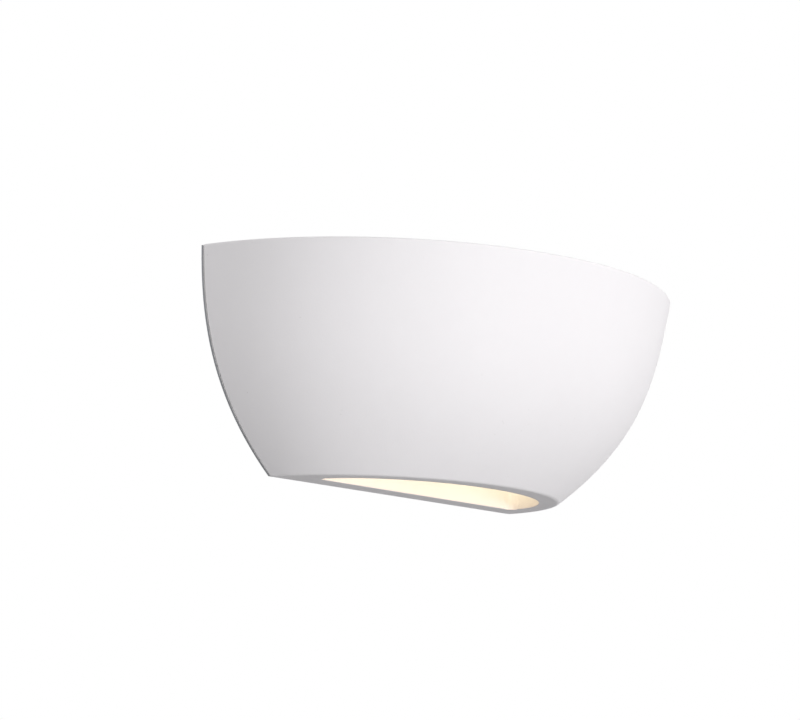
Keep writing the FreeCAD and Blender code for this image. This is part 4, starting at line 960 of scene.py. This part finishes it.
class SCONCE_OT_lampholders(Operator):
    """Finish the two ceramic lampholders, their contacts and the spring"""
    bl_idname = "sconce.lampholders"
    bl_label = "Lampholders"

    def execute(self, context):
        finish = context.scene.sconce_finish
        dress(fired_clay("Steatite", finish.ceramic), "lampholder_left", "lampholder_right", "terminal_block")
        contact = metal("Contact brass", finish.brass, (5.0, 0.4, 0.4), 0.20, 0.36)
        dress(contact, "contact_fixed", "contact_plunger", "contact_seat", "terminal_sleeves")
        dress(metal("Spring wire", finish.spring, (1.0, 1.0, 1.0), 0.22, 0.34), "contact_spring")
        dress(metal("Tinned copper", finish.tin, (1.0, 1.0, 1.0), 0.30, 0.44), "earth_ring")
        return {"FINISHED"}


class SCONCE_OT_lamp(Operator):
    """Make the coiled filament and the light in the tube, and finish the tube and its caps"""
    bl_idname = "sconce.lamp"
    bl_label = "Linear lamp"

    def execute(self, context):
        finish = context.scene.sconce_finish
        lamp = context.scene.sconce_lamp
        dress(clear_quartz("Clear quartz", finish.quartz, lamp.fog_start), "lamp_tube")
        NODES["lamp_tube"].visible_shadow = False
        dress(fired_clay("Cap steatite", finish.cap), "lamp_caps")
        dress(metal("Nickel", finish.nickel, (1.0, 1.0, 1.0), 0.18, 0.30), "lamp_contacts")
        coil = self.filament(lamp)
        coil.data.materials.append(hot_wire("Glowing tungsten", lamp))
        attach(coil, "lamp")
        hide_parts("lamp_filament")
        for side in (-1, 1):
            light = bpy.data.lights.new("tube_light", "POINT")
            light.energy = lamp.power
            light.color = lamp.light
            light.shadow_soft_size = lamp.light_radius
            holder = bpy.data.objects.new("tube_light", light)
            holder.location = (side * lamp.light_offset, -lamp.reach, lamp.rise)
            holder.visible_camera = False
            holder.visible_glossy = False
            holder.visible_transmission = False
            context.scene.collection.objects.link(holder)
        return {"FINISHED"}

    def filament(self, lamp):
        """Coil: a small circle carried round the helix (x, r cos t, r sin t), and a tail at each end."""
        per_turn, sides, tail_sides = 14, 6, 10
        steps = lamp.turns * per_turn + 1
        share = np.linspace(-1.0, 1.0, steps)
        turn = (share + 1.0) * lamp.turns * math.pi
        outward = np.stack([np.zeros(steps), np.cos(turn), np.sin(turn)], -1)
        centre = (lamp.coil_radius - lamp.wire_radius) * outward
        centre[:, 0] = share * lamp.half_length
        along = np.tile([1.0, 0.0, 0.0], (steps, 1))
        coil, faces = sweep(centre, lamp.wire_radius, sides, outward, along)
        points = [coil]
        for side in (-1.0, 1.0):
            line = np.zeros((3, 3))
            line[:, 0] = (side * (lamp.half_length - lamp.tail_overlap), side * lamp.half_length,
                          side * lamp.end)
            tail, tail_faces = tube_along(line, lamp.tail_radius, tail_sides, np.array([0.0, 0.0, 1.0]))
            start = sum(len(part) for part in points)
            points.append(tail)
            faces += [[index + start for index in face] for face in tail_faces]
        placed = np.concatenate(points) + (0.0, -lamp.reach, lamp.rise)
        return new_piece("filament_coil", placed, faces, merge=0.0000001)


class SCONCE_OT_wiring(Operator):
    """Make the three sleeved leads"""
    bl_idname = "sconce.wiring"
    bl_label = "Wiring"

    def execute(self, context):
        finish = context.scene.sconce_finish
        white = woven_sleeve("White woven sleeve", finish.sleeve)
        green = woven_sleeve("Green woven sleeve", finish.earth)
        routes = {
            "live_lead": (white, "white_sleeve", self.live_route()),
            "neutral_lead": (white, "white_sleeve", self.neutral_route()),
            "earth_lead": (green, "green_sleeve", self.earth_route()),
        }
        radius, sides = 0.0011, 16
        reference = np.array([0.35, 0.90, 0.25])   # runs nowhere along any of the routes
        for node, (material, slot, route) in routes.items():
            line = route_line(np.array(route) / 1000.0)
            piece = new_piece(node + "_sleeve", *tube_along(line, radius, sides, reference))
            wrap_map(piece, line, sides, radius)
            piece.data.materials.append(material)
            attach(piece, "root")
            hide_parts(node)
        return {"FINISHED"}

    def live_route(self):
        """From the left holder's tail, round behind the bracket, to the block's first pole; millimetres."""
        return [(-84.0, -72.0, 8.0), (-95.0, -72.0, 8.0), (-99.0, -58.0, 2.0), (-92.0, -42.0, 0.0),
                (-78.0, -26.0, 4.0), (-67.0, -13.0, 6.0), (-64.0, -8.7, -2.0), (-64.0, -8.7, -19.0)]

    def neutral_route(self):
        """From the right holder's tail, behind the lamp, to the block's third pole; millimetres."""
        return [(84.0, -72.0, 8.0), (95.0, -72.0, 8.0), (98.0, -57.0, 3.0), (88.0, -42.0, 3.0),
                (69.0, -31.0, 7.0), (44.0, -24.0, 9.0), (18.0, -21.0, 8.0), (-8.0, -20.0, 9.0),
                (-26.0, -14.0, 8.0), (-32.0, -8.7, -2.0), (-32.0, -8.7, -19.0)]

    def earth_route(self):
        """From the earth ring's crimp to the block's middle pole; millimetres."""
        return [(-32.3, -2.9, 20.0), (-40.3, -2.9, 20.0), (-47.0, -7.5, 12.0), (-48.0, -8.7, -2.0),
                (-48.0, -8.7, -19.0)]


# ---- panel and registration

class SCONCE_PT_panel(Panel):
    """Lists the sconce's pieces"""
    bl_idname = "SCONCE_PT_panel"
    bl_label = "Uplighter Wall Sconce"
    bl_space_type = "VIEW_3D"
    bl_region_type = "UI"
    bl_category = "Sconce"

    def draw(self, context):
        layout = self.layout
        for operator in OPERATORS:
            layout.operator(operator.bl_idname)
        for label in SETTINGS:
            settings = getattr(context.scene, label)
            box = layout.box()
            for key in settings.bl_rna.properties.keys():
                if key not in ("rna_type", "name"):
                    box.prop(settings, key)


OPERATORS = (SCONCE_OT_stage, SCONCE_OT_bowl, SCONCE_OT_mountings, SCONCE_OT_lampholders, SCONCE_OT_lamp,
             SCONCE_OT_wiring)
SETTINGS = {"sconce_bowl": SconceBowlSettings, "sconce_finish": SconceFinishSettings,
            "sconce_lamp": SconceLampSettings, "sconce_stage": SconceStageSettings}
KINDS = (*SETTINGS.values(), *OPERATORS, SCONCE_PT_panel)


def register():
    for kind in KINDS:
        bpy.utils.register_class(kind)
    for label, kind in SETTINGS.items():
        setattr(bpy.types.Scene, label, PointerProperty(type=kind))


def unregister():
    for label in SETTINGS:
        delattr(bpy.types.Scene, label)
    for kind in reversed(KINDS):
        bpy.utils.unregister_class(kind)


def main():
    register()
    bpy.ops.sconce.stage()
    bpy.ops.sconce.bowl()
    bpy.ops.sconce.mountings()
    bpy.ops.sconce.lampholders()
    bpy.ops.sconce.lamp()
    bpy.ops.sconce.wiring()


if __name__ == "__main__":
    main()
